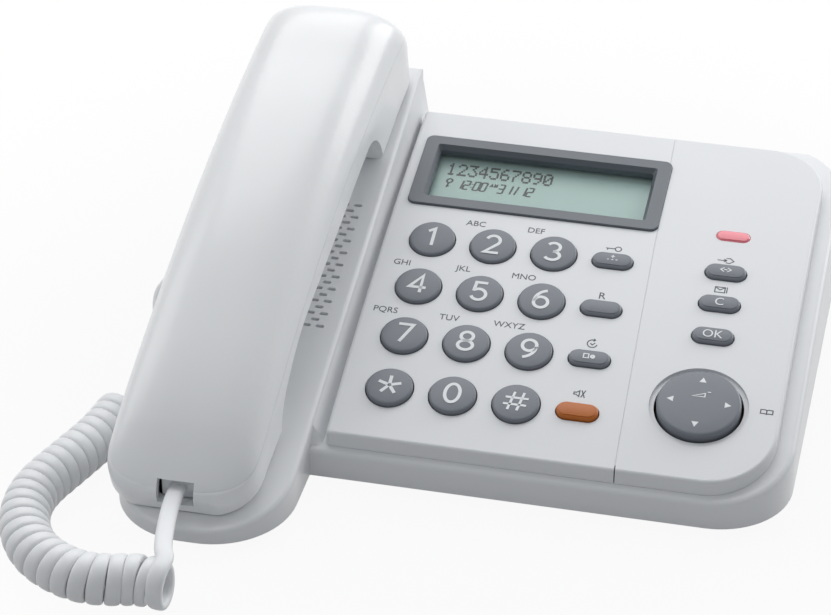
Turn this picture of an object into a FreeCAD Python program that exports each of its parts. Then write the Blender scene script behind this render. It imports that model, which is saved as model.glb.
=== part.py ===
import FreeCAD, Part
import math
import os

from FreeCAD import Placement, Rotation, Vector

# Corded desk phone: base with sloped keypad deck, handset in its cradle, curly cord.
# Millimetres, X to the user's right, Y to the back, Z up, standing on Z = 0.

# Overall body
half_width = 96.5
nose_front = -93.5
deck_front = -55.0
rear_foot_y = 93.5
rear_top_y = 91.5
foot_height = 1.6
foot_radius = 6.0
foot_seat = 0.8
wall = 2.2
plate_thickness = 2.2
skirt_lift = 0.4

# Fits
seat_gap = 0.1
slide_gap = 0.35
rest_gap = 0.4

# Keypad deck, a gently crowned slope
deck_x = -5.0
deck_y = -5.0
deck_z = 30.0
deck_tilt = 14.0
deck_crown_radius = 800.0
panel_left = -39.2
panel_right = 91.0
panel_front = -52.5
panel_rear = 84.8
panel_thickness = 2.4
panel_height = 4.6
panel_edge_round = 1.1
panel_front_radius = 20.0
panel_rear_radius = 18.0
panel_left_radius = 1.5
ledge_width = 6.0
ledge_left = 3.0
ledge_thickness = 2.0
seam_front_u = 51.4
seam_rear_u = 47.2
seam_gap = 0.35
case_front_radius = 23.0
case_rear_radius = 21.0
case_edge_round = 1.8

# Number keys
key_pitch_u = 19.0
key_pitch_v = 20.3
key_radius = 7.0
key_height = 1.5
key_round = 0.7
key_travel = 1.2
flange_width = 1.0
flange_thickness = 1.0
stem_radius = 2.6
stem_length = 2.4

# Oval keys
oval_length = 12.4
oval_width = 6.0
oval_column_u = 37.2
function_column_u = 71.8
function_rows_v = [31.3, 18.0, 4.7]

# Message lamp
lamp_length = 10.4
lamp_width = 4.4
lamp_v = 47.6
lamp_height = 0.5

# Navigator
nav_u = 71.8
nav_v = -22.6
nav_radius = 12.4
nav_height = 2.4
nav_round = 1.0
nav_gap = 0.8
nav_tilt = 2.5
nav_drop = 7.4
nav_pin_radius = 1.2
nav_pin_gap = 0.15
nav_post_reach = 16.2
nav_post_width = 3.0
nav_lug_reach = 6.5
dish_radius = 14.6
dish_depth = 0.8

# Display
bezel_v = 61.9
bezel_u = 8.95
bezel_length = 79.0
bezel_width = 32.6
bezel_radius = 2.5
bezel_height = 0.6
bezel_frame_side = 5.4
bezel_frame_top = 5.0
bezel_depth = 7.5
bezel_bevel = 1.6
window_depth = 3.0
pocket_margin = 1.6
window_thickness = 1.2
lcd_thickness = 2.6

# Boards under the deck
mat_thickness = 1.2
dome_height = 0.9
dome_radius = 4.0
board_thickness = 1.6
press_room = 0.4
board_post_radius = 2.0

# Cradle, with a well for each end of the handset
cradle_right_front = -44.0
cradle_right_rear = -41.5
cradle_tilt = 16.1
rim_z = 33.3
nose_radius = 24.0
cradle_rear_radius = 12.0
cradle_edge_radius = 1.0
well_depth = 9.0
well_floor_z = 6.6
well_bevel = 1.0
rim_round = 1.5
shoulder_gap = 0.7
shoulder_sink = 1.0
shoulder_taper = 2.5
shoulder_spans = 5

# Handset
mouth_x = -74.4
ear_x = -66.2
mouth_t = -80.0
ear_t = 86.0
handset_width = 45.2
handset_front_t = -91.5
handset_rear_t = 95.6
handset_under = rest_gap
handset_end_top = 4.4
mouth_round = 26.0
ear_round = 17.0
plan_round = 12.6
lower_round = 2.5
side_share = 0.45
crown_power = 2.7
crown_steps = 10
profile_t = (-70.0, 5.0, 75.0)
handset_tops = (21.4, 37.0, 35.9)
parting_levels = (13.5, 25.0, 23.0)
grip_rise = 18.3
grip_front_t = -60.0
grip_rear_t = 52.0
grip_front_reach = 36.0
grip_rear_reach = 14.0
shell_wall = 2.0
cup_depth = 8.6
cup_inset = 3.6
cup_draft = 0.4
cup_corner = 12.0
cup_root = 4.0
mouth_cup_rear = -62.5
ear_cup_front = 57.0
mouth_end_margin = 2.2
ear_end_margin = 5.4

# Hook plunger
hook_radius = 4.0
hook_travel = 4.0
hook_t = 74.0
hook_flange = 1.2
hook_length = 14.0

# Sound slots beside the handset
slot_rows = 11
slot_columns = 3
slot_length = 2.6
slot_width = 1.1
slot_front_y = -16.6
slot_rear_y = 30.9
slot_offset = 6.6
slot_column_step = 2.05

# Modular jacks and plugs
jack_width = 13.0
jack_height = 11.4
jack_length = 12.5
socket_width = 9.9
socket_height = 6.8
socket_depth = 11.0
plug_gap = 0.15
plug_stick_out = 2.6
line_jack_x = 4.0
line_jack_z = 10.0
base_jack_y = 19.6
base_jack_z = 17.4
notch_width = 11.0
notch_height = 7.4
handset_jack_x = -74.5
handset_jack_z = well_floor_z + rest_gap + shell_wall + seat_gap + jack_height / 2
handset_plug_y = -82.4

# Curly cord
wire_diameter = 2.5
curl_radius = 6.1
curl_pitch = 4.5
coil_axis_z = 7.7
coil_route = [
    (-66.5, -118.0),
    (-74.0, -121.0),
    (-84.0, -122.6),
    (-94.0, -121.0),
    (-103.5, -116.0),
    (-110.5, -108.5),
    (-114.4, -99.0),
    (-115.0, -89.0),
    (-113.2, -78.0),
    (-110.4, -66.0),
    (-108.0, -54.0),
    (-107.6, -41.0),
    (-109.6, -28.5),
    (-113.2, -16.5),
    (-116.4, -5.0),
    (-118.2, 7.0),
    (-118.6, 18.0),
]

# Inner equipment
speaker_radius = 14.0
speaker_height = 7.0
speaker_x = -66.0
speaker_y = 18.0
holder_wall = 1.6
holder_height = 4.0
main_board_z = 9.0
main_board_x = (-34.0, 14.0)
main_board_y = (-2.0, 70.0)
bay_x = 22.0
bay_y = 22.0
cell_radius = 7.2
cell_length = 50.5
cell_count = 3
cell_gap = 0.6
cell_end_gap = 3.0
cell_tip = 1.0
cell_tip_radius = 2.7
contact_thickness = 0.5
contact_width = 10.0
contact_height = 9.0
cover_margin = 3.0
cover_travel = 8.0
cover_thickness = 1.6
cover_roof = 1.6
bay_height = cover_thickness + 2 * (cell_radius + cell_gap) + wall
cell_z = foot_height + cover_thickness + cell_gap + cell_radius
groove_count = 4
groove_pitch = 2.4
groove_width = 1.0
groove_length = 16.0
groove_depth = 0.5

# Fasteners and wall mounting
screw_radius = 1.4
screw_head_radius = 3.0
screw_head_height = 1.6
screw_length = 12.0
boss_radius = 3.4
screw_spots = [(89.6, -30.0), (89.6, 70.0), (-36.4, -48.0), (-84.0, 62.0), (-70.0, -22.0)]
screw_sink = 0.5
slot_reach = 1.8
slot_half = 0.35
keyhole_spacing = 83.0
keyhole_x = -10.0
keyhole_front_y = -36.0
keyhole_entry_radius = 4.2
keyhole_slot_radius = 2.2
keyhole_reach = 8.0

receiver_radius = 13.0
receiver_height = 7.0
microphone_radius = 4.5
microphone_height = 5.0
weight_length = 43.0
weight_t = 7.5
weight_width = 16.0
weight_height = 4.0
weight_gap = 0.8
ear_hole_radius = 1.0
ear_hole_ring = 6.0
mouth_hole_count = 3
mouth_hole_pitch = 3.2
microphone_y = -74.0
microphone_shift = 11.1
microphone_lift = 0.6
handset_screw_t = (-22.0, 37.0)
handset_boss_radius = screw_head_radius + 1.6
screw_head_h = handset_under + grip_rise + screw_head_height + 2 * seat_gap

far = 400.0
cover_bottom = foot_height + skirt_lift
plate_top = foot_height + plate_thickness
tilt_rad = math.radians(deck_tilt)
cradle_rad = math.radians(cradle_tilt)
crown_y = deck_y + deck_crown_radius * math.sin(tilt_rad)
crown_z = deck_z - deck_crown_radius * math.cos(tilt_rad)
key_flange_radius = key_radius + flange_width


def corner_wire(corners):
    """Closed wire through (x, y, radius) corners, each rounded by a tangent arc."""
    edges = []
    starts = []
    count = len(corners)
    for index in range(count):
        before = Vector(corners[index - 1][0], corners[index - 1][1], 0)
        here = Vector(corners[index][0], corners[index][1], 0)
        after = Vector(corners[(index + 1) % count][0], corners[(index + 1) % count][1], 0)
        radius = corners[index][2]
        to_before = (before - here).normalize()
        to_after = (after - here).normalize()
        half = to_before.getAngle(to_after) / 2
        reach = radius / math.tan(half)
        first = here + to_before * reach
        last = here + to_after * reach
        bisector = (to_before + to_after).normalize()
        middle = here + bisector * (radius / math.sin(half) - radius)
        starts.append((first, middle, last, radius))
    for index in range(count):
        first, middle, last, radius = starts[index]
        if radius > 0:
            edges.append(Part.Arc(first, middle, last).toShape())
        next_first = starts[(index + 1) % count][0]
        if (next_first - last).Length > 1e-6:
            edges.append(Part.LineSegment(last, next_first).toShape())
    return Part.Wire(edges)


def prism(corners, low, high):
    face = Part.Face(corner_wire(corners))
    face.translate(Vector(0, 0, low))
    return face.extrude(Vector(0, 0, high - low))


def box_corners(x0, x1, y0, y1, radii):
    """Rectangle with one radius per corner: front left, front right, rear right, rear left."""
    return [(x0, y0, radii[0]), (x1, y0, radii[1]), (x1, y1, radii[2]), (x0, y1, radii[3])]


def block(x0, x1, y0, y1, z0, z1):
    return Part.makeBox(x1 - x0, y1 - y0, z1 - z0, Vector(x0, y0, z0))


def deck_height(y, drop):
    return crown_z + math.sqrt((deck_crown_radius - drop) ** 2 - (y - crown_y) ** 2)


def crown_arc(y0, y1, drop):
    middle = (y0 + y1) / 2
    points = [Vector(0, y, deck_height(y, drop)) for y in (y0, middle, y1)]
    return Part.Arc(points[0], points[1], points[2]).toShape()


def under_deck(x0, x1, y0, y1, drop, floor_z):
    """Solid below the crowned deck surface, sunk by drop."""
    top = crown_arc(y0, y1, drop)
    front_top = Vector(0, y0, deck_height(y0, drop))
    rear_top = Vector(0, y1, deck_height(y1, drop))
    front_low = Vector(0, y0, floor_z)
    rear_low = Vector(0, y1, floor_z)
    sides = [(rear_top, rear_low), (rear_low, front_low), (front_low, front_top)]
    edges = [top] + [Part.LineSegment(a, b).toShape() for a, b in sides]
    face = Part.Face(Part.Wire(edges))
    face.translate(Vector(x0, 0, 0))
    return face.extrude(Vector(x1 - x0, 0, 0))


def deck_placement(u, v, n):
    turn = Rotation(Vector(1, 0, 0), deck_tilt)
    return Placement(Vector(deck_x, deck_y, deck_z) + turn.multVec(Vector(u, v, n)), turn)


def on_deck(shape, u, v, n):
    return shape.transformed(deck_placement(u, v, n).toMatrix())


def crown_drop(v, depth):
    """Level of the deck surface, sunk by depth, in the tilted frame of the keys."""
    return math.sqrt((deck_crown_radius - depth) ** 2 - v ** 2) - deck_crown_radius


def cradle_placement(x, t, h):
    turn = Rotation(Vector(1, 0, 0), cradle_tilt)
    return Placement(Vector(0, 0, rim_z) + turn.multVec(Vector(x, t, h)), turn)


def on_cradle(shape):
    return shape.transformed(cradle_placement(0, 0, 0).toMatrix())


def handset_x(t):
    return mouth_x + (ear_x - mouth_x) * (t - mouth_t) / (ear_t - mouth_t)


def oval(length, width, low, high):
    radius = width / 2
    reach = length / 2
    shape = box_corners(-reach, reach, -radius, radius, [radius - 0.01] * 4)
    return prism(shape, low, high)


def round_edges(shape, radius, chosen):
    edges = [edge for edge in shape.Edges if chosen(edge)]
    return shape.makeFillet(radius, edges)


def case_corners(inset):
    radii = [0, case_front_radius - inset, case_rear_radius - inset, 0]
    left = cradle_right_front - 12
    return box_corners(left, half_width - inset, deck_front + inset, rear_foot_y - inset, radii)


def cradle_right(y):
    """Right side of the cradle, which widens towards the rear."""
    share = (y - nose_front) / (rear_foot_y - nose_front)
    return cradle_right_front + (cradle_right_rear - cradle_right_front) * share


def cradle_corners(inset):
    nose = nose_radius - inset
    left = -half_width + inset
    front = nose_front + inset
    rear = rear_foot_y - inset
    return [
        (left, front, nose),
        (cradle_right(front) - inset, front, nose),
        (cradle_right(rear) - inset, rear, cradle_edge_radius),
        (left, rear, cradle_rear_radius - inset),
    ]


def behind_rear_wall(inset):
    """Everything behind the leaning rear wall."""
    low = Vector(-far, rear_foot_y - inset, cover_bottom)
    rise = deck_height(rear_top_y, panel_height) - cover_bottom
    lean = (rear_top_y - rear_foot_y) / rise
    high = low + Vector(0, lean * far, far)
    below = low - Vector(0, lean * far, far)
    outline = Part.makePolygon([below, high, Vector(-far, far, far), Vector(-far, far, -far), below])
    return Part.Face(outline).extrude(Vector(2 * far, 0, 0))


def panel_corners(inset):
    radii = [panel_left_radius, panel_front_radius - inset, panel_rear_radius - inset, panel_left_radius]
    left = panel_left + inset
    return box_corners(left, panel_right - inset, panel_front + inset, panel_rear - inset, radii)


def opening_corners():
    inset = ledge_width
    radii = [2.0, panel_front_radius - inset, panel_rear_radius - inset, 2.0]
    left = panel_left + ledge_left
    return box_corners(left, panel_right - inset, panel_front + inset, panel_rear - inset, radii)


def seam_side(side):
    """Half space left (-1) or right (1) of the slanted seam, as a tall prism."""
    slope = (seam_rear_u - seam_front_u) / (panel_rear - panel_front)
    shift = side * seam_gap / 2 + deck_x
    near = seam_front_u + slope * (-far - panel_front) + shift
    distant = seam_front_u + slope * (far - panel_front) + shift
    return prism([(side * far, -far, 0), (near, -far, 0), (distant, far, 0), (side * far, far, 0)], -far, far)


def cradle_block(inset, rim_drop, floor_z):
    """Cradle body below a plane parallel to its rim."""
    body = prism(cradle_corners(inset), floor_z, far / 2)
    lid = on_cradle(block(-far, far, -far, far, -rim_drop, far))
    return body.cut(lid).cut(behind_rear_wall(inset))


def case_block(inset, drop, floor_z):
    """Case below the deck surface sunk by drop, with its walls drawn in by inset."""
    body = under_deck(-half_width, far / 2, deck_front - far / 8, rear_foot_y + far / 8, drop, floor_z)
    return body.common(prism(case_corners(inset), -far, far)).cut(behind_rear_wall(inset))


def on_rim(edge):
    """True for an edge that lies in the plane of the cradle's rim."""
    heights = []
    for vertex in edge.Vertexes:
        level = rim_z + vertex.Point.y * math.tan(cradle_rad)
        heights.append(abs(vertex.Point.z - level))
    return max(heights) < 0.01


def on_ledge(edge):
    """True for an edge of the deck's ledge that is on the outside of the case."""
    heights = []
    for vertex in edge.Vertexes:
        heights.append(abs(vertex.Point.z - deck_height(vertex.Point.y, panel_height)))
    return max(heights) < 0.01 and edge.BoundBox.XMax > cradle_right_front


def cup_spans():
    """Front and rear end of the mouth cup and of the ear cup."""
    mouth_front = handset_front_t + mouth_end_margin
    ear_rear = handset_rear_t - ear_end_margin
    return [(mouth_front, mouth_cup_rear), (ear_cup_front, ear_rear)]


def well_corners(span, inset):
    play = slide_gap + rest_gap - inset
    side = handset_width / 2 - cup_inset + play
    front = span[0] - play
    rear = span[1] + play
    corner = cup_corner + rest_gap - inset
    return [
        (handset_x(front) - side, front, corner),
        (handset_x(front) + side, front, corner),
        (handset_x(rear) + side, rear, corner),
        (handset_x(rear) - side, rear, corner),
    ]


def well(span):
    pocket = on_cradle(prism(well_corners(span, 0), -well_depth, far / 4))
    return pocket.common(block(-far, far, -far, far, well_floor_z, far))


def well_flare(span):
    """Bevel around the mouth of a well."""
    low = corner_wire(well_corners(span, 0.1))
    low.translate(Vector(0, 0, -well_bevel - 0.1))
    high = corner_wire(well_corners(span, -well_bevel))
    high.translate(Vector(0, 0, 0.1))
    return on_cradle(Part.makeLoft([low, high], True, True))


def bridge_hollow():
    """Space under the flat of the cradle between its two wells."""
    margin = slide_gap + rest_gap + wall
    slab = on_cradle(block(-far, far, mouth_cup_rear + margin, ear_cup_front - margin, -far, far))
    return cradle_block(wall, wall, -1).common(slab)


def shoulder():
    """Slope from the cradle's rim down to the deck's ledge beside the panel."""
    foot_x = panel_left - shoulder_gap
    front = deck_front + 1.1 * case_edge_round
    full = front + shoulder_taper
    spots = [front]
    for k in range(shoulder_spans + 1):
        spots.append(full + (rear_foot_y + 1 - full) * k / shoulder_spans)
    sections = []
    for y in spots:
        ledge = deck_height(y, panel_height)
        low = ledge - shoulder_sink
        foot = ledge - 0.2 * shoulder_sink
        inner = cradle_right(y) - 0.4 * rim_round
        high = rim_z + y * math.tan(cradle_rad) - 0.4 * rim_round
        if y == front:
            high = ledge + 0.4 * rim_round
        corners = [(inner, low), (foot_x, low), (foot_x, foot), (inner, high)]
        points = [Vector(x, y, z) for x, z in corners]
        sections.append(Part.makePolygon(points + points[:1]))
    return Part.makeLoft(sections, True, True).cut(behind_rear_wall(0))


def screw_boss(x, y, top):
    low = plate_top + seat_gap
    return Part.makeCylinder(boss_radius, top - low, Vector(x, y, low))


def boss_top(x, y):
    """Level inside the cover's top wall at a screw."""
    if x > cradle_right(y):
        return deck_height(y, panel_height + ledge_thickness / 2)
    drop = wall / 2
    if not mouth_cup_rear + boss_radius < y < ear_cup_front - boss_radius:
        drop += well_depth
    return rim_z + y * math.tan(cradle_rad) - drop / math.cos(cradle_rad)


def jack_hole(direction, x, y, z):
    """Opening in a wall for a modular jack that faces along direction."""
    side = jack_width / 2 + seat_gap
    rise = jack_height / 2 + seat_gap
    reach = 4 * wall
    if direction == "x":
        return block(x - reach, x + reach, y - side, y + side, z - rise, z + rise)
    return block(x - side, x + side, y - reach, y + reach, z - rise, z + rise)


def sound_slots():
    slots = []
    step = (slot_rear_y - slot_front_y) / (slot_rows - 1)
    for column in range(slot_columns):
        stagger = column % 2
        for row in range(slot_rows - stagger):
            y = slot_front_y + (row + stagger / 2) * step
            x = cradle_right(y) - slot_offset - column * slot_column_step
            slot = oval(slot_length, slot_width, cover_bottom, far / 4)
            slot.translate(Vector(x, y, 0))
            slots.append(slot)
    return Part.makeCompound(slots)


def make_top_cover():
    case = round_edges(case_block(0, panel_height, cover_bottom), case_edge_round, on_ledge)
    cradle = round_edges(cradle_block(0, 0, cover_bottom), rim_round, on_rim)
    body = case.fuse([cradle, shoulder()]).removeSplitter()

    hollow = case_block(wall, panel_height + ledge_thickness, -1)
    cradle_hollow = cradle_block(wall, well_depth + wall, -1)
    nose_hollow = prism(cradle_corners(wall), -1, well_floor_z - wall).cut(behind_rear_wall(wall))
    under_rim = cradle_hollow.fuse(bridge_hollow())
    body = body.cut(hollow.fuse([under_rim, nose_hollow]))

    for span in cup_spans():
        body = body.cut(well(span)).cut(well_flare(span))
    body = body.cut(prism(opening_corners(), cover_bottom, far))
    body = body.cut(sound_slots())
    body = body.cut(jack_hole("x", -half_width, base_jack_y, base_jack_z))
    body = body.cut(jack_hole("y", line_jack_x, rear_foot_y, line_jack_z))

    hook_spot = Vector(handset_x(hook_t), hook_t, -2.5 * well_depth)
    body = body.cut(on_cradle(Part.makeCylinder(hook_radius + slide_gap, 3 * well_depth, hook_spot)))

    for x, y in screw_spots:
        body = body.fuse(screw_boss(x, y, boss_top(x, y)))
    for x, y in screw_spots:
        bore = Part.makeCylinder(screw_radius + seat_gap, screw_length + 1, Vector(x, y, plate_top - 1))
        body = body.cut(bore)
    return body.removeSplitter()


def make_panel_blank():
    grow = ledge_width
    span = (panel_left - grow, panel_right + grow, panel_front - grow, panel_rear + grow)
    outer = under_deck(*span, 0, -1).common(prism(panel_corners(0), -far, far))
    top = [edge for edge in outer.Edges if lies_on_crown(edge)]
    outer = outer.makeFillet(panel_edge_round, top)
    outer = outer.cut(under_deck(*span, panel_height - seat_gap, -5))
    inner = under_deck(*span, panel_thickness, -2).common(prism(panel_corners(wall), -far, far))
    return outer.cut(inner)


def lies_on_crown(edge):
    gaps = []
    for vertex in edge.Vertexes:
        point = vertex.Point
        gaps.append(abs(point.z - deck_height(point.y, 0)))
    return max(gaps) < 0.01


def key_spots():
    """Name, u and v of each round key, row by row from the back."""
    names = ["1", "2", "3", "4", "5", "6", "7", "8", "9", "star", "0", "hash"]
    spots = []
    for index, name in enumerate(names):
        u = (index % 3 - 1) * key_pitch_u
        v = (1.5 - index // 3) * key_pitch_v
        spots.append(("key_" + name, u, v))
    return spots


def oval_spots():
    names = ["key_lock", "key_recall", "key_redial", "key_mute"]
    spots = []
    for index, name in enumerate(names):
        spots.append((name, oval_column_u, (1.5 - index) * key_pitch_v))
    return spots


def function_spots():
    names = ["key_transfer", "key_clear", "key_ok"]
    return [(name, function_column_u, v) for name, v in zip(names, function_rows_v)]


def flange_level(v, reach):
    """Highest level of a retaining flange that stays clear of the crowned underside."""
    return crown_drop(abs(v) + reach, panel_thickness) - slide_gap


def key_foot(v, reach):
    return flange_level(v, reach) - flange_thickness - stem_length


def round_key(v):
    top = crown_drop(v, 0) + key_height
    level = flange_level(v, key_flange_radius)
    low = level - flange_thickness
    cap = Part.makeCylinder(key_radius, top - low, Vector(0, 0, low))
    cap = round_edges(cap, key_round, lambda edge: edge.BoundBox.ZMin > top - 0.01)
    flange = Part.makeCylinder(key_flange_radius, flange_thickness, Vector(0, 0, level - flange_thickness))
    stem = Part.makeCylinder(stem_radius, stem_length + 0.5, Vector(0, 0, key_foot(v, key_flange_radius)))
    return cap.fuse([flange, stem]).removeSplitter()


def oval_key(v):
    top = crown_drop(v, 0) + key_height
    reach = oval_width / 2 + flange_width
    level = flange_level(v, reach)
    cap = oval(oval_length, oval_width, level - flange_thickness, top)
    cap = round_edges(cap, key_round, lambda edge: edge.BoundBox.ZMin > top - 0.01)
    rim = 2 * flange_width
    flange = oval(oval_length + rim, oval_width + rim, level - flange_thickness, level)
    stem = Part.makeCylinder(stem_radius, stem_length + 0.5, Vector(0, 0, key_foot(v, reach)))
    return cap.fuse([flange, stem]).removeSplitter()


def bezel_placement():
    angle = math.degrees(math.asin(bezel_v / deck_crown_radius))
    turn = Rotation(Vector(1, 0, 0), deck_tilt - angle)
    base = deck_placement(bezel_u, bezel_v, crown_drop(bezel_v, 0)).Base
    return Placement(base, turn)


def on_bezel(shape):
    return shape.transformed(bezel_placement().toMatrix())


def bezel_corners(inset):
    length = bezel_length / 2 - inset
    width = bezel_width / 2 - inset
    return box_corners(-length, length, -width, width, [max(bezel_radius - inset, 0.4)] * 4)


def window_corners(grow):
    length = bezel_length / 2 - bezel_frame_side + grow
    width = bezel_width / 2 - bezel_frame_top + grow
    return box_corners(-length, length, -width, width, [0.8] * 4)


def panel_cuts():
    """Through holes in the two deck panels."""
    cuts = []
    for name, u, v in key_spots():
        hole = Part.makeCylinder(key_radius + slide_gap, 2 * panel_height, Vector(0, 0, -panel_height))
        cuts.append(on_deck(hole, u, v, 0))
    for name, u, v in oval_spots() + function_spots():
        grow = 2 * slide_gap
        hole = oval(oval_length + grow, oval_width + grow, -panel_height, panel_height)
        cuts.append(on_deck(hole, u, v, 0))
    grow = 2 * seat_gap
    lamp = oval(lamp_length + grow, lamp_width + grow, -panel_height - 1, panel_height)
    cuts.append(on_deck(lamp, function_column_u, lamp_v, 0))
    cuts.append(on_bezel(prism(bezel_corners(-seat_gap), -bezel_depth, bezel_depth)))
    hole = Part.makeCylinder(nav_radius + nav_gap, 2 * panel_height, Vector(0, 0, -panel_height))
    cuts.append(on_deck(hole, nav_u, nav_v, 0))
    dish = Part.makeCylinder(dish_radius, panel_height, Vector(0, 0, crown_drop(nav_v, 0) - dish_depth))
    cuts.append(on_deck(dish, nav_u, nav_v, 0))
    return cuts


def board_level():
    """Top of the key mat below the deck, with room for a pressed key."""
    lowest = min(key_foot(v, key_flange_radius) for name, u, v in key_spots())
    return lowest - key_travel - press_room - dome_height


def board_top():
    return board_level() - mat_thickness - seat_gap


def keypad_board_corners(inset):
    reach_u = key_pitch_u + key_radius
    left = -reach_u - inset
    right = oval_column_u + oval_length / 2 + inset
    reach_v = 1.5 * key_pitch_v + key_radius
    return box_corners(left, right, -reach_v - inset, reach_v + inset, [2.0] * 4)


def keypad_posts():
    edges = keypad_board_corners(board_post_radius - 0.5)
    posts = []
    for x, y, radius in edges:
        height = crown_drop(abs(y), panel_thickness / 2) - board_top() - seat_gap
        post = Part.makeCylinder(board_post_radius, height, Vector(x, y, board_top() + seat_gap))
        posts.append(on_deck(post, 0, 0, 0))
    return posts


def function_board_corners():
    left = nav_u - nav_post_reach - nav_post_width
    right = nav_u + nav_post_reach + 1
    front = nav_v - nav_radius
    rear = lamp_v + lamp_width
    return box_corners(left, right, front, rear, [2.0] * 4)


def nav_posts():
    """Two hangers under the function panel that carry the navigator's cross."""
    level = crown_drop(nav_v, panel_thickness / 2)
    posts = []
    for side in (-1, 1):
        x = side * nav_post_reach
        post = block(x - nav_post_width / 2, x + nav_post_width / 2, -3.0, 3.0, board_top() + seat_gap, level)
        bore = Part.makeCylinder(nav_pin_radius + nav_pin_gap, 4 * nav_post_width,
                                 Vector(x - 2 * nav_post_width, 0, -nav_drop), Vector(1, 0, 0))
        posts.append(on_deck(post.cut(bore), nav_u, nav_v, 0))
    return posts


def function_posts():
    edges = function_board_corners()
    posts = []
    for x, y, radius in edges[2:]:
        inward = -board_post_radius if x > nav_u else board_post_radius
        spot_x = x + inward
        spot_y = y - board_post_radius
        height = crown_drop(abs(spot_y), panel_thickness / 2) - board_top() - seat_gap
        post = Part.makeCylinder(board_post_radius, height, Vector(spot_x, spot_y, board_top() + seat_gap))
        posts.append(on_deck(post, 0, 0, 0))
    return posts


def make_panels():
    blank = make_panel_blank()
    for cut in panel_cuts():
        blank = blank.cut(cut)
    keypad = blank.common(seam_side(-1)).fuse(keypad_posts()).removeSplitter()
    function = blank.common(seam_side(1)).fuse(nav_posts() + function_posts()).removeSplitter()
    return keypad, function


def make_key_mat():
    low = board_level() - mat_thickness
    mat = prism(keypad_board_corners(-1.5), low, board_level())
    for name, u, v in key_spots() + oval_spots():
        dome = Part.makeCone(dome_radius, dome_radius - dome_height, dome_height, Vector(u, v, board_level()))
        mat = mat.fuse(dome)
    return on_deck(mat, 0, 0, 0)


def make_key_board():
    board = prism(keypad_board_corners(2.0), board_top() - board_thickness, board_top())
    return on_deck(board, 0, 0, 0)


def make_function_board():
    board = prism(function_board_corners(), board_top() - board_thickness, board_top())
    for v in function_rows_v:
        dome = Part.makeCone(dome_radius - 1, dome_radius - 1 - dome_height, dome_height,
                             Vector(function_column_u, v, board_top()))
        board = board.fuse(dome)
    return on_deck(board, 0, 0, 0)


def make_lamp_lens():
    top = crown_drop(lamp_v, 0) + lamp_height
    level = flange_level(lamp_v, lamp_width / 2 + flange_width)
    lens = oval(lamp_length, lamp_width, level - flange_thickness, top)
    lens = round_edges(lens, lamp_height / 2, lambda edge: edge.BoundBox.ZMin > top - 0.01)
    rim = 2 * flange_width
    flange = oval(lamp_length + rim, lamp_width + rim, level - flange_thickness, level)
    return on_deck(lens.fuse(flange).removeSplitter(), function_column_u, lamp_v, 0)


def make_nav_disc():
    top = crown_drop(nav_v, 0) + nav_height
    reach = nav_radius + flange_width
    swing = reach * math.sin(math.radians(nav_tilt))
    level = flange_level(nav_v, reach) - swing
    low = level - flange_thickness
    disc = Part.makeCylinder(nav_radius, top - low, Vector(0, 0, low))
    disc = round_edges(disc, nav_round, lambda edge: edge.BoundBox.ZMin > top - 0.01)
    flange = Part.makeCylinder(reach, flange_thickness, Vector(0, 0, level - flange_thickness))
    disc = disc.fuse(flange)
    for side in (-1, 1):
        y = side * nav_lug_reach
        low = -nav_drop - nav_pin_radius - 1.2
        lug = block(-2.6, 2.6, y - 1.0, y + 1.0, low, level - flange_thickness / 2)
        disc = disc.fuse(lug)
    bore = Part.makeCylinder(nav_pin_radius + nav_pin_gap, 4 * nav_lug_reach,
                             Vector(0, -2 * nav_lug_reach, -nav_drop), Vector(0, 1, 0))
    return on_deck(disc.cut(bore).removeSplitter(), nav_u, nav_v, 0)


def make_nav_cross():
    reach = nav_post_reach + nav_post_width / 2
    side = Part.makeCylinder(nav_pin_radius, 2 * reach, Vector(-reach, 0, -nav_drop), Vector(1, 0, 0))
    length = nav_lug_reach + 1.0
    ahead = Part.makeCylinder(nav_pin_radius, 2 * length, Vector(0, -length, -nav_drop), Vector(0, 1, 0))
    hub = Part.makeCylinder(2.2, 2 * nav_pin_radius, Vector(0, 0, -nav_drop - nav_pin_radius))
    return on_deck(side.fuse([ahead, hub]).removeSplitter(), nav_u, nav_v, 0)


def make_display():
    frame = prism(bezel_corners(0), -bezel_depth, bezel_height)
    frame = round_edges(frame, bezel_height / 2, lambda edge: edge.BoundBox.ZMin > bezel_height - 0.01)
    opening = prism(window_corners(0), -bezel_depth, bezel_height + 1)
    slope_low = corner_wire(window_corners(0))
    slope_low.translate(Vector(0, 0, bezel_height - bezel_bevel))
    slope_high = corner_wire(window_corners(bezel_bevel * 0.7))
    slope_high.translate(Vector(0, 0, bezel_height))
    slope = Part.makeLoft([slope_low, slope_high], True, True)
    pocket = prism(window_corners(pocket_margin), -bezel_depth, -window_depth)
    frame = frame.cut(opening).cut(slope).cut(pocket)
    window_top = -window_depth - seat_gap
    window = prism(window_corners(pocket_margin - seat_gap), window_top - window_thickness, window_top)
    lcd_top = -window_depth - window_thickness - 2 * seat_gap
    lcd = prism(window_corners(pocket_margin - seat_gap), lcd_top - lcd_thickness, lcd_top)
    return on_bezel(frame), on_bezel(window), on_bezel(lcd)


def plate_outline(low, high, inset):
    case = prism(case_corners(inset), low, high)
    cradle = prism(cradle_corners(inset), low, high)
    return case.fuse(cradle).removeSplitter()


def bay_size():
    width = cell_count * 2 * cell_radius + (cell_count + 1) * cell_gap
    length = cell_length + 2 * cell_end_gap
    return width, length


def keyhole(y):
    low = foot_height - 1
    high = plate_top + 1
    entry = Part.makeCylinder(keyhole_entry_radius, high - low, Vector(keyhole_x, y, low))
    side = keyhole_slot_radius
    slot = block(keyhole_x - side, keyhole_x + side, y, y + keyhole_reach, low, high)
    end = Part.makeCylinder(keyhole_slot_radius, high - low, Vector(keyhole_x, y + keyhole_reach, low))
    return entry.fuse([slot, end])


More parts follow.
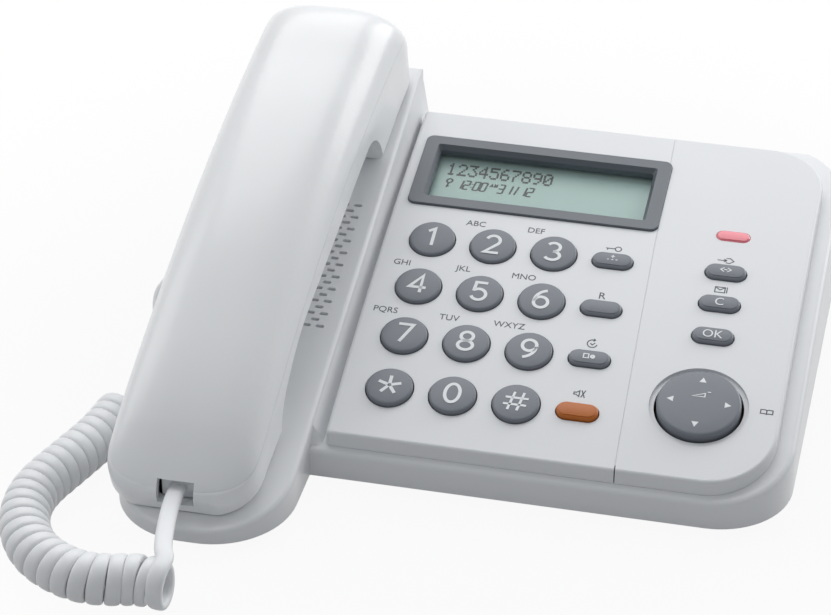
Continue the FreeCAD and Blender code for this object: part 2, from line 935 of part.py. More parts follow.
def foot_spots():
    return [(-74.0, -70.0), (-82.0, 76.0), (79.5, 77.0), (76.0, -38.0)]


def make_bottom_cover():
    plate = plate_outline(foot_height, plate_top, wall + rest_gap)
    width, length = bay_size()
    bay = block(bay_x - wall, bay_x + width + wall, bay_y - wall - cover_travel, bay_y + length + wall,
                foot_height, foot_height + bay_height)
    bay_floor = block(bay_x - wall - 1, bay_x + width + wall + 1, bay_y - wall - cover_travel - 1, bay_y - wall,
                      plate_top + cover_roof, far)
    plate = plate.fuse(bay.cut(bay_floor))
    plate = plate.cut(block(bay_x, bay_x + width, bay_y, bay_y + length, 0, foot_height + bay_height - wall))
    recess = block(bay_x - cover_margin + seat_gap, bay_x + width + cover_margin - seat_gap,
                   bay_y - cover_margin - cover_travel, bay_y + length + cover_margin,
                   0, foot_height + cover_thickness + slide_gap)
    rim = block(bay_x - cover_margin - wall, bay_x + width + cover_margin + wall,
                bay_y - cover_margin - cover_travel - wall, bay_y + length + cover_margin + wall,
                foot_height, plate_top + cover_roof)
    rim = rim.cut(block(bay_x, bay_x + width, bay_y, bay_y + length, 0, far))
    plate = plate.fuse(rim).cut(recess)
    for y in (keyhole_front_y, keyhole_front_y + keyhole_spacing):
        plate = plate.cut(keyhole(y))
    for x, y in foot_spots():
        plate = plate.cut(Part.makeCylinder(foot_radius + seat_gap, foot_seat, Vector(x, y, foot_height)))
    for x, y in screw_spots:
        plate = plate.cut(Part.makeCylinder(screw_radius + seat_gap, screw_length, Vector(x, y, 0)))
        head_spot = Vector(x, y, foot_height - screw_sink)
        plate = plate.cut(Part.makeCylinder(screw_head_radius + seat_gap, screw_head_height, head_spot))
    speaker_spot = Vector(speaker_x, speaker_y, plate_top)
    holder = Part.makeCylinder(speaker_radius + seat_gap + holder_wall, holder_height, speaker_spot)
    holder = holder.cut(Part.makeCylinder(speaker_radius + seat_gap, holder_height, speaker_spot))
    plate = plate.fuse(holder)
    for x in (main_board_x[0] + 4, main_board_x[1] - 4):
        for y in (main_board_y[0] + 4, main_board_y[1] - 4):
            height = main_board_z - seat_gap - plate_top
            plate = plate.fuse(Part.makeCylinder(board_post_radius + 1, height, Vector(x, y, plate_top)))
    stand = line_jack_z - jack_height / 2 - seat_gap
    if stand > plate_top:
        seat = block(line_jack_x - jack_width / 2, line_jack_x + jack_width / 2,
                     line_jack_front() - jack_length, line_jack_front() - 4, plate_top, stand)
        plate = plate.fuse(seat)
    return plate.removeSplitter()


def make_battery_cover():
    width, length = bay_size()
    side = cover_margin - seat_gap - slide_gap
    cover = block(bay_x - side, bay_x + width + side, bay_y - cover_margin + slide_gap,
                  bay_y + length + cover_margin - slide_gap, foot_height, foot_height + cover_thickness)
    left = bay_x + width / 2 - groove_length / 2
    for index in range(groove_count):
        y = bay_y + groove_pitch * (index + 1)
        depth = foot_height + groove_depth
        groove = block(left, left + groove_length, y, y + groove_width, foot_height - 1, depth)
        cover = cover.cut(groove)
    return cover


def cell_x(index):
    return bay_x + cell_gap + cell_radius + index * (2 * cell_radius + cell_gap)


def make_cells():
    cells = []
    for index in range(cell_count):
        x = cell_x(index)
        low = Vector(x, bay_y + cell_end_gap, cell_z)
        tip_y = bay_y + cell_end_gap + cell_length - cell_tip
        body = Part.makeCylinder(cell_radius, cell_length - cell_tip, low, Vector(0, 1, 0))
        tip = Part.makeCylinder(cell_tip_radius, cell_tip, Vector(x, tip_y, cell_z), Vector(0, 1, 0))
        cells.append(body.fuse(tip))
    return Part.makeCompound(cells)


def make_contacts():
    """Spring plates at both ends of each cell."""
    plates = []
    width, length = bay_size()
    reach = cell_end_gap - 3 * seat_gap
    for index in range(cell_count):
        x0 = cell_x(index) - contact_width / 2
        x1 = cell_x(index) + contact_width / 2
        z0 = cell_z - contact_height / 2
        z1 = cell_z + contact_height / 2
        front = bay_y + seat_gap
        rear = bay_y + length - seat_gap
        for near, bump_y in ((front, front), (rear - contact_thickness, rear - reach)):
            plate = block(x0, x1, near, near + contact_thickness, z0, z1)
            spot = Vector(cell_x(index), bump_y, cell_z)
            bump = Part.makeCylinder(cell_tip_radius, reach, spot, Vector(0, 1, 0))
            plates.append(plate.fuse(bump))
    return Part.makeCompound(plates)


def make_feet():
    feet = []
    for x, y in foot_spots():
        height = foot_height + foot_seat - seat_gap
        foot = Part.makeCylinder(foot_radius, height, Vector(x, y, 0))
        feet.append(foot)
    return Part.makeCompound(feet)


def make_case_screws():
    screws = []
    low = foot_height - screw_sink + seat_gap
    for x, y in screw_spots:
        head = Part.makeCylinder(screw_head_radius, screw_head_height - 2 * seat_gap, Vector(x, y, low))
        shaft = Part.makeCylinder(screw_radius, screw_length - 2, Vector(x, y, low))
        slot_a = block(x - slot_reach, x + slot_reach, y - slot_half, y + slot_half, low - 1, low + slot_half)
        slot_b = block(x - slot_half, x + slot_half, y - slot_reach, y + slot_reach, low - 1, low + slot_half)
        screws.append(head.fuse(shaft).cut(slot_a).cut(slot_b))
    return Part.makeCompound(screws)


def line_jack_front():
    share = (line_jack_z - cover_bottom) / (deck_height(rear_top_y, panel_height) - cover_bottom)
    return rear_foot_y - share * (rear_foot_y - rear_top_y) - 1.0


def make_jack():
    """Modular socket facing +Y with its mouth at Y = 0, centred on X and Z."""
    body = block(-jack_width / 2, jack_width / 2, -jack_length, 0, -jack_height / 2, jack_height / 2)
    hole = block(-socket_width / 2, socket_width / 2, -socket_depth, 1, -socket_height / 2, socket_height / 2)
    latch = block(-3.0, 3.0, -socket_depth, 1, -socket_height / 2 - 1.6, 0)
    return body.cut(hole).cut(latch)


def make_plug():
    """Modular plug that enters a socket along -Y; its cord leaves along +Y."""
    length = socket_depth - 0.8
    width = socket_width / 2 - plug_gap
    height = socket_height / 2 - plug_gap
    body = block(-width, width, -length, plug_stick_out, -height, height)
    latch = block(-2.6, 2.6, -length + 2, 0.8, -height - 1.2, -height + 0.5)
    return body.fuse(latch).removeSplitter()


def place_jack(shape, x, y, z, turn):
    return shape.transformed(Placement(Vector(x, y, z), Rotation(Vector(0, 0, 1), turn)).toMatrix())


def parabola(t, levels):
    """Height at t on the curve through the levels at mouth, grip and ear."""
    mouth, grip, ear = profile_t
    first = (levels[1] - levels[0]) / (grip - mouth)
    second = ((levels[2] - levels[1]) / (ear - grip) - first) / (ear - mouth)
    return levels[0] + first * (t - mouth) + second * (t - mouth) * (t - grip)


def handset_section(t, width, top, inset):
    """Cross-section at t: flat underside, soft lower corners, one crowned curve over the top."""
    x = handset_x(t)
    half = width / 2 - inset
    low = handset_under + inset
    high = top - inset
    corner = min(lower_round, 0.2 * (high - low))
    bend = corner * (1 - math.sqrt(0.5))
    side = low + side_share * (high - low)
    crown = []
    for index in range(crown_steps + 1):
        angle = math.pi * index / crown_steps
        across = math.copysign(abs(math.cos(angle)) ** (2 / crown_power), math.cos(angle))
        rise = abs(math.sin(angle)) ** (2 / crown_power)
        crown.append(Vector(x + half * across, t, side + (high - side) * rise))
    crown[-1] = Vector(x - half, t, side)
    crown_curve = Part.BSplineCurve()
    crown_curve.interpolate(crown)
    right_low = Vector(x + half - corner, t, low)
    left_low = Vector(x - half + corner, t, low)
    right_side = Vector(x + half, t, low + corner)
    left_side = Vector(x - half, t, low + corner)
    edges = [
        Part.LineSegment(left_low, right_low),
        Part.Arc(right_low, Vector(x + half - bend, t, low + bend), right_side),
        Part.LineSegment(right_side, crown[0]),
        crown_curve,
        Part.LineSegment(crown[-1], left_side),
        Part.Arc(left_side, Vector(x - half + bend, t, low + bend), left_low),
    ]
    return Part.Wire([edge.toShape() for edge in edges])


def end_share(offset, reach):
    """Quarter-ellipse growth from a rounded end."""
    if offset >= reach:
        return 1.0
    return math.sqrt(1 - (1 - offset / reach) ** 2)


def handset_stations():
    """Where the handset's cross-sections stand, closer together at its rounded ends."""
    stations = [handset_front_t + offset for offset in (0.4, 2.0, 5.0, 10.0, 17.0, 26.0)]
    stations += [-42.0, -14.0, 14.0, 42.0, 62.0]
    stations += [handset_rear_t - offset for offset in (18.0, 11.0, 5.6, 2.2, 0.5)]
    return stations


def handset_loft(inset):
    """Handset without its finger arch, or its hollow where an inset draws it in on every side."""
    middle = (handset_front_t + handset_rear_t) / 2
    squeeze = 1 - 2 * inset / (handset_rear_t - handset_front_t)
    wires = []
    for t in handset_stations():
        front = t - handset_front_t
        rear = handset_rear_t - t
        narrow = 2 - end_share(front, plan_round) - end_share(rear, plan_round)
        growth = end_share(front, mouth_round) * end_share(rear, ear_round)
        top = handset_end_top + (parabola(t, handset_tops) - handset_end_top) * growth
        width = handset_width - 2 * plan_round * narrow
        wires.append(handset_section(middle + (t - middle) * squeeze, width, top, inset))
    return Part.makeLoft(wires, True, False)


def side_curve(points):
    curve = Part.BSplineCurve()
    curve.interpolate([Vector(-far / 2, t, h) for t, h in points])
    return curve


def grip_arch(grow):
    """Room for fingers under the grip, widened by grow where the hollow keeps a wall above it."""
    roof = grip_rise + grow
    front = grip_front_t - grow
    rear = grip_rear_t + grow
    low = -far / 8
    angles = [math.radians(15 * index) for index in range(7)]
    rising = []
    falling = []
    for angle in angles:
        level = handset_under + roof * math.sin(angle)
        rising.append((front + grip_front_reach * (1 - math.cos(angle)), level))
        falling.append((rear - grip_rear_reach * (1 - math.cos(angle)), level))
    falling.reverse()
    corners = [(rear, low), (front, low)]
    edges = [
        side_curve(rising),
        side_curve([rising[-1], falling[0]]),
        side_curve(falling),
        side_curve([falling[-1], corners[0]]),
        side_curve(corners),
        side_curve([corners[1], rising[0]]),
    ]
    face = Part.Face(Part.Wire([edge.toShape() for edge in edges]))
    return face.extrude(Vector(far / 2, 0, 0))


def below_parting(drop):
    """Everything under the arched joint between the handset's two shells."""
    reach = 0.3 * far
    points = []
    for index in range(13):
        t = -reach + 2 * reach * index / 12
        points.append((t, parabola(t, parting_levels) - drop))
    corners = [(reach, -far / 4), (-reach, -far / 4)]
    edges = [
        side_curve(points),
        side_curve([points[-1], corners[0]]),
        side_curve(corners),
        side_curve([corners[1], points[0]]),
    ]
    face = Part.Face(Part.Wire([edge.toShape() for edge in edges]))
    return face.extrude(Vector(far / 2, 0, 0))


def cup_wire(front, rear, inset, corner, level):
    half = handset_width / 2 - inset
    corners = [
        (handset_x(front) - half, front, corner),
        (handset_x(front) + half, front, corner),
        (handset_x(rear) + half, rear, corner),
        (handset_x(rear) - half, rear, corner),
    ]
    wire = corner_wire(corners)
    wire.translate(Vector(0, 0, level))
    return wire


def cup(span, shrink, floor):
    """Ear or mouth cup below the handset body, drawn in towards its face."""
    front = span[0] + shrink
    rear = span[1] - shrink
    corner = cup_corner - shrink
    high = handset_under + cup_root - shrink / 4
    top = cup_wire(front, rear, cup_inset - cup_draft + shrink, corner, high)
    low = cup_wire(front + cup_draft, rear - cup_draft, cup_inset + shrink, corner, floor - cup_depth)
    return Part.makeLoft([low, top], True, True)


def above(z):
    return block(-far, far, -far, far, z, far)


def handset_pillars(radius, low, length):
    """Cylinders on the axes of the handset's screws."""
    spots = [Vector(handset_x(t), t, low) for t in handset_screw_t]
    return [Part.makeCylinder(radius, length, spot) for spot in spots]


def mouth_holes():
    holes = []
    for index in range(mouth_hole_count):
        x = microphone_x() + (index - (mouth_hole_count - 1) / 2) * mouth_hole_pitch
        depth = well_floor_z + rest_gap + 2 * shell_wall
        holes.append(Part.makeCylinder(ear_hole_radius, depth, Vector(x, microphone_y, 0)))
    return holes


def make_handset_shells():
    mouth_span, ear_span = cup_spans()
    mouth_floor = well_floor_z + rest_gap
    body = handset_loft(0).cut(grip_arch(0))
    pillars = handset_pillars(handset_boss_radius, 0, far / 4)
    hollow = on_cradle(handset_loft(shell_wall).cut([grip_arch(shell_wall)] + pillars))
    bores = handset_pillars(screw_radius + seat_gap, screw_head_h - 1, screw_length)
    heads = handset_pillars(screw_head_radius + seat_gap, 0, screw_head_h)
    bores = [on_cradle(bore) for bore in bores]
    heads = [on_cradle(head) for head in heads]
    side = notch_width / 2
    rise = notch_height / 2
    notch = block(handset_jack_x - side, handset_jack_x + side, handset_plug_y - jack_length,
                  handset_plug_y + jack_length, handset_jack_z - rise, handset_jack_z + rise)
    outer = on_cradle(body).cut([hollow, on_cradle(below_parting(0)), notch] + bores)

    mouth_cup = on_cradle(cup(mouth_span, 0, 0)).common(above(mouth_floor))
    mouth_hollow = on_cradle(cup(mouth_span, shell_wall, shell_wall)).common(above(mouth_floor + shell_wall))
    ear_cup = on_cradle(cup(ear_span, 0, 0))
    ear_hollow = on_cradle(cup(ear_span, shell_wall, shell_wall))
    lower = on_cradle(body.common(below_parting(seat_gap))).fuse([mouth_cup, ear_cup])
    listening = [on_cradle(hole) for hole in ear_holes()]
    tools = [hollow, mouth_hollow, ear_hollow, notch] + bores + heads + listening + mouth_holes()
    inner = lower.cut(tools)
    return outer.removeSplitter(), inner.removeSplitter()


def microphone_x():
    return handset_x(microphone_y) + microphone_shift


def ear_holes():
    """Ring of listening holes in the face of the ear cup."""
    holes = []
    for index in range(6):
        angle = math.radians(60 * index)
        x = handset_x(hook_t) + ear_hole_ring * math.cos(angle)
        t = hook_t + ear_hole_ring * math.sin(angle)
        spot = Vector(x, t, -cup_depth - 2 * shell_wall)
        holes.append(Part.makeCylinder(ear_hole_radius, 4 * shell_wall, spot))
    return holes


def make_handset_screws():
    screws = []
    top = screw_head_h - seat_gap
    for t in handset_screw_t:
        x = handset_x(t)
        head = Part.makeCylinder(screw_head_radius, screw_head_height, Vector(x, t, top - screw_head_height))
        shaft = Part.makeCylinder(screw_radius, screw_length, Vector(x, t, top - screw_head_height))
        screws.append(on_cradle(head.fuse(shaft)))
    return Part.makeCompound(screws)


def make_receiver():
    low = -cup_depth + shell_wall + seat_gap
    capsule = Part.makeCylinder(receiver_radius, receiver_height, Vector(handset_x(hook_t), hook_t, low))
    return on_cradle(capsule)


def make_microphone():
    level = well_floor_z + rest_gap + shell_wall + microphone_lift
    spot = Vector(microphone_x(), microphone_y, level)
    return Part.makeCylinder(microphone_radius, microphone_height, spot)


def make_weight():
    x = handset_x(weight_t)
    low = handset_under + grip_rise + shell_wall + weight_gap
    reach = weight_length / 2
    side = weight_width / 2
    return on_cradle(block(x - side, x + side, weight_t - reach, weight_t + reach, low, low + weight_height))


def make_hook():
    x = handset_x(hook_t)
    top = -well_depth
    low = top - hook_length
    stem = Part.makeCylinder(hook_radius, hook_length, Vector(x, hook_t, low))
    stem = round_edges(stem, 0.8, lambda edge: edge.BoundBox.ZMin > top - 0.01)
    ring_low = -well_depth - wall - rest_gap - hook_travel - hook_flange
    ring = Part.makeCylinder(hook_radius + hook_flange, hook_flange, Vector(x, hook_t, ring_low))
    return on_cradle(stem.fuse(ring).removeSplitter())


def biarc(start, start_dir, end, end_dir):
    """Two tangent arcs from start to end that keep both end directions."""
    chord = end - start
    along = start_dir + end_dir
    spread = 2 * (1 - start_dir.dot(end_dir))
    reach_part = chord.dot(along)
    root = math.sqrt(reach_part ** 2 + spread * chord.dot(chord))
    if spread > 1e-9:
        reach = (root - reach_part) / spread
    else:
        reach = chord.dot(chord) / (2 * reach_part)
    first = start + start_dir * reach
    second = end - end_dir * reach
    joint = (first + second) * 0.5
    return [arc_by_corner(start, first, joint), arc_by_corner(joint, second, end)]


def arc_by_corner(start, corner, end):
    middle = (start + end) * 0.5
    half = (end - start).Length / 2
    rise = corner - middle
    slope = math.atan2(rise.Length, half)
    if slope < 1e-5:
        return Part.LineSegment(start, end).toShape()
    top = middle + rise * (math.tan(slope / 2) / math.tan(slope))
    return Part.Arc(start, top, end).toShape()


def route_pieces():
    """Axis of the curls: straight runs joined by the largest tangent arcs."""
    points = [Vector(x, y, coil_axis_z) for x, y in coil_route]
    pieces = []
    here = points[0]
    for index in range(1, len(points) - 1):
        before = points[index] - points[index - 1]
        after = points[index + 1] - points[index]
        run = min(before.Length, after.Length)
        turn = before.getAngle(after)
        cut = 0.45 * run
        radius = cut / math.tan(turn / 2)
        print("axis arc radius %.1f mm" % radius)
        first = points[index] - before.normalize() * cut
        last = points[index] + after.normalize() * cut
        pieces.append(Part.LineSegment(here, first).toShape())
        pieces.append(arc_by_corner(first, points[index], last))
        here = last
    pieces.append(Part.LineSegment(here, points[-1]).toShape())
    return pieces


def curl_point(pieces, lengths, distance, angle, rate):
    """Point and direction of the wire at a distance along the axis."""
    left = distance
    index = 0
    while index < len(pieces) - 1 and left > lengths[index]:
        left -= lengths[index]
        index += 1
    edge = pieces[index]
    parameter = edge.getParameterByLength(min(left, lengths[index]))
    centre = edge.valueAt(parameter)
    along = edge.tangentAt(parameter)
    side = Vector(0, 0, 1).cross(along)
    up = Vector(0, 0, 1)
    point = centre + side * (curl_radius * math.cos(angle)) + up * (curl_radius * math.sin(angle))
    spin = side * (-math.sin(angle)) + up * math.cos(angle)
    direction = along + spin * (curl_radius * rate)
    return point, direction.normalize()


def cord_wire():
    """Centreline of the cord: tail from the handset, curls, tail to the base."""
    pieces = route_pieces()
    lengths = [edge.Length for edge in pieces]
    total = sum(lengths)
    turns = round(total / curl_pitch) + 0.25
    rate = -2 * math.pi * turns / total
    stations = []
    steps = int(round(turns * 4))
    for step in range(steps + 1):
        distance = total * step / steps
        stations.append(curl_point(pieces, lengths, distance, math.pi / 2 + rate * distance, rate))
    ahead = Vector(0, -1, 0)
    leave = Vector(handset_jack_x, handset_plug_y - plug_stick_out, handset_jack_z)
    straight = leave + ahead * wire_diameter
    inward = Vector(1, 0, 0)
    arrive = Vector(-half_width - plug_stick_out, base_jack_y, base_jack_z)
    before = arrive - inward * wire_diameter
    edges = [Part.LineSegment(leave, straight).toShape()]
    edges += biarc(straight, ahead, stations[0][0], stations[0][1])
    for first, second in zip(stations[:-1], stations[1:]):
        edges += biarc(first[0], first[1], second[0], second[1])
    edges += biarc(stations[-1][0], stations[-1][1], before, inward)
    edges.append(Part.LineSegment(before, arrive).toShape())
    print("curls %.2f, cord length %.1f mm" % (turns, sum(edge.Length for edge in edges)))
    return edges


def least_gap(edges):
    """Smallest clear distance between neighbouring curls, on points along the wire."""
    points = []
    for edge in edges:
        count = max(2, int(edge.Length / 0.8))
        points += [edge.valueAt(edge.FirstParameter + (edge.LastParameter - edge.FirstParameter) * k / count)
                   for k in range(count)]
    skip = int(5 * wire_diameter / 0.8)
    window = int(2.5 * 2 * math.pi * curl_radius / 0.6)
    best = far
    for index, point in enumerate(points):
        for other in points[index + skip:index + window]:
            best = min(best, (other - point).Length)
    return best - wire_diameter


def make_cord():
    edges = cord_wire()
    print("least gap between curls %.2f mm" % least_gap(edges))
    path = Part.Wire(edges)
    start = edges[0].valueAt(edges[0].FirstParameter)
    profile = Part.Wire([Part.makeCircle(wire_diameter / 2, start, Vector(0, -1, 0))])
    tube = path.makePipeShell([profile], True, False)
    section = math.pi * wire_diameter ** 2 / 4
    print("cord volume %.1f, section times length %.1f" % (tube.Volume, section * path.Length))
    return tube


def make_speaker():
    low = plate_top + seat_gap
    basket = Part.makeCylinder(speaker_radius, speaker_height - 2, Vector(speaker_x, speaker_y, low))
    rim_spot = Vector(speaker_x, speaker_y, low + speaker_height - 2)
    rim = Part.makeCone(speaker_radius, speaker_radius - 2, 2, rim_spot)
    return basket.fuse(rim).removeSplitter()


def make_main_board():
    return block(main_board_x[0], main_board_x[1], main_board_y[0], main_board_y[1], main_board_z,
                 main_board_z + board_thickness)


def export(name, shape):
    if not shape.isValid():
        print("check shape", name)
    print("%-22s solids %d volume %.1f" % (name, len(shape.Solids), shape.Volume))
    shape.exportStep("parts/" + name + ".step")


def main():
    os.makedirs("parts", exist_ok=True)
    keypad_panel, function_panel = make_panels()
    bezel, window, lcd = make_display()
    outer_shell, inner_shell = make_handset_shells()
    jack = make_jack()
    plug = make_plug()
    line_y = line_jack_front()
    nodes = {
        "top_cover": make_top_cover(),
        "bottom_cover": make_bottom_cover(),
        "keypad_panel": keypad_panel,
        "function_panel": function_panel,
        "display_bezel": bezel,
        "display_window": window,
        "lcd_module": lcd,
        "message_lamp_lens": make_lamp_lens(),
        "navigator_disc": make_nav_disc(),
        "navigator_cross": make_nav_cross(),
        "key_mat": make_key_mat(),
        "key_board": make_key_board(),
        "function_board": make_function_board(),
        "main_board": make_main_board(),
        "ringer_speaker": make_speaker(),
        "hook_plunger": make_hook(),
        "line_jack": place_jack(jack, line_jack_x, line_y, line_jack_z, 0),
        "base_cord_jack": place_jack(jack, -half_width, base_jack_y, base_jack_z, 90),
        "battery_cover": make_battery_cover(),
        "battery_cells": make_cells(),
        "battery_contacts": make_contacts(),
        "rubber_feet": make_feet(),
        "case_screws": make_case_screws(),
        "handset_outer_shell": outer_shell,
        "handset_inner_shell": inner_shell,
        "receiver_capsule": make_receiver(),
        "microphone": make_microphone(),
        "handset_weight": make_weight(),
        "handset_screws": make_handset_screws(),
        "handset_cord_jack": place_jack(jack, handset_jack_x, handset_plug_y, handset_jack_z, 180),
        "handset_cord_plug": place_jack(plug, handset_jack_x, handset_plug_y, handset_jack_z, 180),
        "base_cord_plug": place_jack(plug, -half_width, base_jack_y, base_jack_z, 90),
        "curly_cord": make_cord(),
    }
    for name, u, v in key_spots():
        nodes[name] = on_deck(round_key(v), u, v, 0)
    for name, u, v in oval_spots() + function_spots():
        nodes[name] = on_deck(oval_key(v), u, v, 0)
    for name, shape in nodes.items():
        export(name, shape)


main()
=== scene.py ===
import bpy
import bmesh
import math
from mathutils import Matrix, Vector


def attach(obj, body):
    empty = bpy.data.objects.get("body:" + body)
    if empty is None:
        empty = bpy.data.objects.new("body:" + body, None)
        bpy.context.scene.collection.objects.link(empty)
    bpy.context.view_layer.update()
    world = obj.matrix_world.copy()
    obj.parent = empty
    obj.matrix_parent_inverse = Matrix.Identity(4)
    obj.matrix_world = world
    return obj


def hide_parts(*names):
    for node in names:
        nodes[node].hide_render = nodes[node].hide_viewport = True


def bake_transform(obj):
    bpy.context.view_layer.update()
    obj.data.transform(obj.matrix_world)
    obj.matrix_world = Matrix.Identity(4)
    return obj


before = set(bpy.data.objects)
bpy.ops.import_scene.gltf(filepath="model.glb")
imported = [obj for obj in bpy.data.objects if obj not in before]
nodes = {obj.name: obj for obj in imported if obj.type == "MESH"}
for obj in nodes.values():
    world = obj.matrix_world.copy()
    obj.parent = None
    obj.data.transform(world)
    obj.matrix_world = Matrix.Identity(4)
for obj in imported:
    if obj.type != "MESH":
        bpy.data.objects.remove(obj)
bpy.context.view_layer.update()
scene = bpy.context.scene
scene.view_settings.view_transform = "Standard"
mm = 0.001
print("frame loaded with", len(nodes), "nodes")


# Camera at the photograph's angle, fitted on the keypad and the base corners.
cameraSetup = {
    "place": (0.144007, -0.752754, 0.550237),
    "lookDownDeg": 34.10,
    "turnDeg": 12.57,
    "focalPixels": 3071,
    "imageWidth": 831,
    "sensor": 36.0,
}


def makeCamera(setup):
    data = bpy.data.cameras.new("photoCamera")
    data.sensor_width = setup["sensor"]
    data.lens = setup["focalPixels"] * setup["sensor"] / setup["imageWidth"]
    camera = bpy.data.objects.new("photoCamera", data)
    camera.location = setup["place"]
    camera.rotation_euler = (math.radians(90 - setup["lookDownDeg"]), 0, math.radians(setup["turnDeg"]))
    scene.collection.objects.link(camera)
    scene.camera = camera


makeCamera(cameraSetup)


# Small helpers shared by the pieces.
def addPiece(name, mesh, material, body):
    piece = bpy.data.objects.new(name, mesh)
    scene.collection.objects.link(piece)
    mesh.materials.clear()
    mesh.materials.append(material)
    if body:
        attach(piece, body)
    return piece


def smoothByAngle(mesh, degrees):
    work = bmesh.new()
    work.from_mesh(mesh)
    limit = math.radians(degrees)
    for face in work.faces:
        face.smooth = True
    for edge in work.edges:
        edge.smooth = len(edge.link_faces) == 2 and edge.calc_face_angle(0) < limit
    work.to_mesh(mesh)
    work.free()


def shadeEvenly(piece):
    weights = piece.modifiers.new("evenShading", "WEIGHTED_NORMAL")  # broad faces keep flat light
    weights.keep_sharp = True
    weights.weight = 80


def meshFrom(name, points, faces):
    mesh = bpy.data.meshes.new(name)
    mesh.from_pydata([tuple(p) for p in points], [], faces)
    mesh.update()
    return mesh


def closeOutwards(mesh):
    work = bmesh.new()
    work.from_mesh(mesh)
    bmesh.ops.remove_doubles(work, verts=work.verts, dist=1e-6)
    bmesh.ops.recalc_face_normals(work, faces=work.faces)
    work.to_mesh(mesh)
    work.free()


def bakedMesh(piece):
    graph = bpy.context.evaluated_depsgraph_get()
    return bpy.data.meshes.new_from_object(piece.evaluated_get(graph), depsgraph=graph)


# Shader groups: fine moulding grain, and a slow drift of tint from handling.
def groupSockets(tree, direction, sockets):
    for name, kind, value in sockets:
        socket = tree.interface.new_socket(name, in_out=direction, socket_type=kind)
        if value is not None:
            socket.default_value = value


def makeGrainGroup():
    tree = bpy.data.node_groups.new("mouldGrain", "ShaderNodeTree")
    groupSockets(tree, "INPUT", [
        ("Grain Scale", "NodeSocketFloat", 900.0),
        ("Grain Depth", "NodeSocketFloat", 0.05),
        ("Rough Low", "NodeSocketFloat", 0.3),
        ("Rough High", "NodeSocketFloat", 0.4),
    ])
    groupSockets(tree, "OUTPUT", [
        ("Roughness", "NodeSocketFloat", None),
        ("Normal", "NodeSocketVector", None),
    ])
    link = tree.links.new
    inside = tree.nodes.new("NodeGroupInput")
    outside = tree.nodes.new("NodeGroupOutput")
    place = tree.nodes.new("ShaderNodeTexCoord")
    grain = tree.nodes.new("ShaderNodeTexNoise")
    grain.inputs["Detail"].default_value = 3.0
    patches = tree.nodes.new("ShaderNodeTexNoise")
    patches.inputs["Scale"].default_value = 45.0
    spread = tree.nodes.new("ShaderNodeMapRange")
    bump = tree.nodes.new("ShaderNodeBump")
    bump.inputs["Distance"].default_value = 0.0002
    link(place.outputs["Object"], grain.inputs["Vector"])
    link(place.outputs["Object"], patches.inputs["Vector"])
    link(inside.outputs["Grain Scale"], grain.inputs["Scale"])
    link(patches.outputs["Fac"], spread.inputs["Value"])
    link(inside.outputs["Rough Low"], spread.inputs["To Min"])
    link(inside.outputs["Rough High"], spread.inputs["To Max"])
    link(grain.outputs["Fac"], bump.inputs["Height"])
    link(inside.outputs["Grain Depth"], bump.inputs["Strength"])
    link(spread.outputs["Result"], outside.inputs["Roughness"])
    link(bump.outputs["Normal"], outside.inputs["Normal"])
    return tree


def makeTintGroup():
    tree = bpy.data.node_groups.new("handledTint", "ShaderNodeTree")
    groupSockets(tree, "INPUT", [
        ("Tint", "NodeSocketColor", (0.8, 0.8, 0.8, 1)),
        ("Shade", "NodeSocketColor", (0.7, 0.7, 0.7, 1)),
        ("Patch Scale", "NodeSocketFloat", 14.0),
    ])
    groupSockets(tree, "OUTPUT", [("Color", "NodeSocketColor", None)])
    link = tree.links.new
    inside = tree.nodes.new("NodeGroupInput")
    outside = tree.nodes.new("NodeGroupOutput")
    place = tree.nodes.new("ShaderNodeTexCoord")
    drift = tree.nodes.new("ShaderNodeTexNoise")
    drift.inputs["Detail"].default_value = 4.0
    mix = tree.nodes.new("ShaderNodeMix")
    mix.data_type = "RGBA"
    link(place.outputs["Object"], drift.inputs["Vector"])
    link(inside.outputs["Patch Scale"], drift.inputs["Scale"])
    link(drift.outputs["Fac"], mix.inputs["Factor"])
    link(inside.outputs["Tint"], mix.inputs[6])
    link(inside.outputs["Shade"], mix.inputs[7])
    link(mix.outputs[2], outside.inputs["Color"])
    return tree


grainGroup = makeGrainGroup()
tintGroup = makeTintGroup()


def mouldedPlastic(name, look):
    material = bpy.data.materials.new(name)
    material.use_nodes = True
    tree = material.node_tree
    shader = tree.nodes["Principled BSDF"]
    grain = tree.nodes.new("ShaderNodeGroup")
    grain.node_tree = grainGroup
    grain.inputs["Grain Scale"].default_value = look.get("grainScale", 1400.0)
    grain.inputs["Grain Depth"].default_value = look.get("grainDepth", 0.04)
    grain.inputs["Rough Low"].default_value = look["rough"][0]
    grain.inputs["Rough High"].default_value = look["rough"][1]
    tint = tree.nodes.new("ShaderNodeGroup")
    tint.node_tree = tintGroup
    tint.inputs["Tint"].default_value = (*look["tint"], 1)
    tint.inputs["Shade"].default_value = (*look["shade"], 1)
    tint.inputs["Patch Scale"].default_value = look.get("patchScale", 14.0)
    tree.links.new(tint.outputs["Color"], shader.inputs["Base Color"])
    tree.links.new(grain.outputs["Roughness"], shader.inputs["Roughness"])
    tree.links.new(grain.outputs["Normal"], shader.inputs["Normal"])
    shader.inputs["Metallic"].default_value = look.get("metal", 0.0)
    shader.inputs["Specular IOR Level"].default_value = look.get("specular", 0.5)
    shader.inputs["Coat Weight"].default_value = look.get("coat", 0.0)
    shader.inputs["Coat Roughness"].default_value = 0.15
    if "alpha" in look:
        shader.inputs["Alpha"].default_value = look["alpha"]
    return material


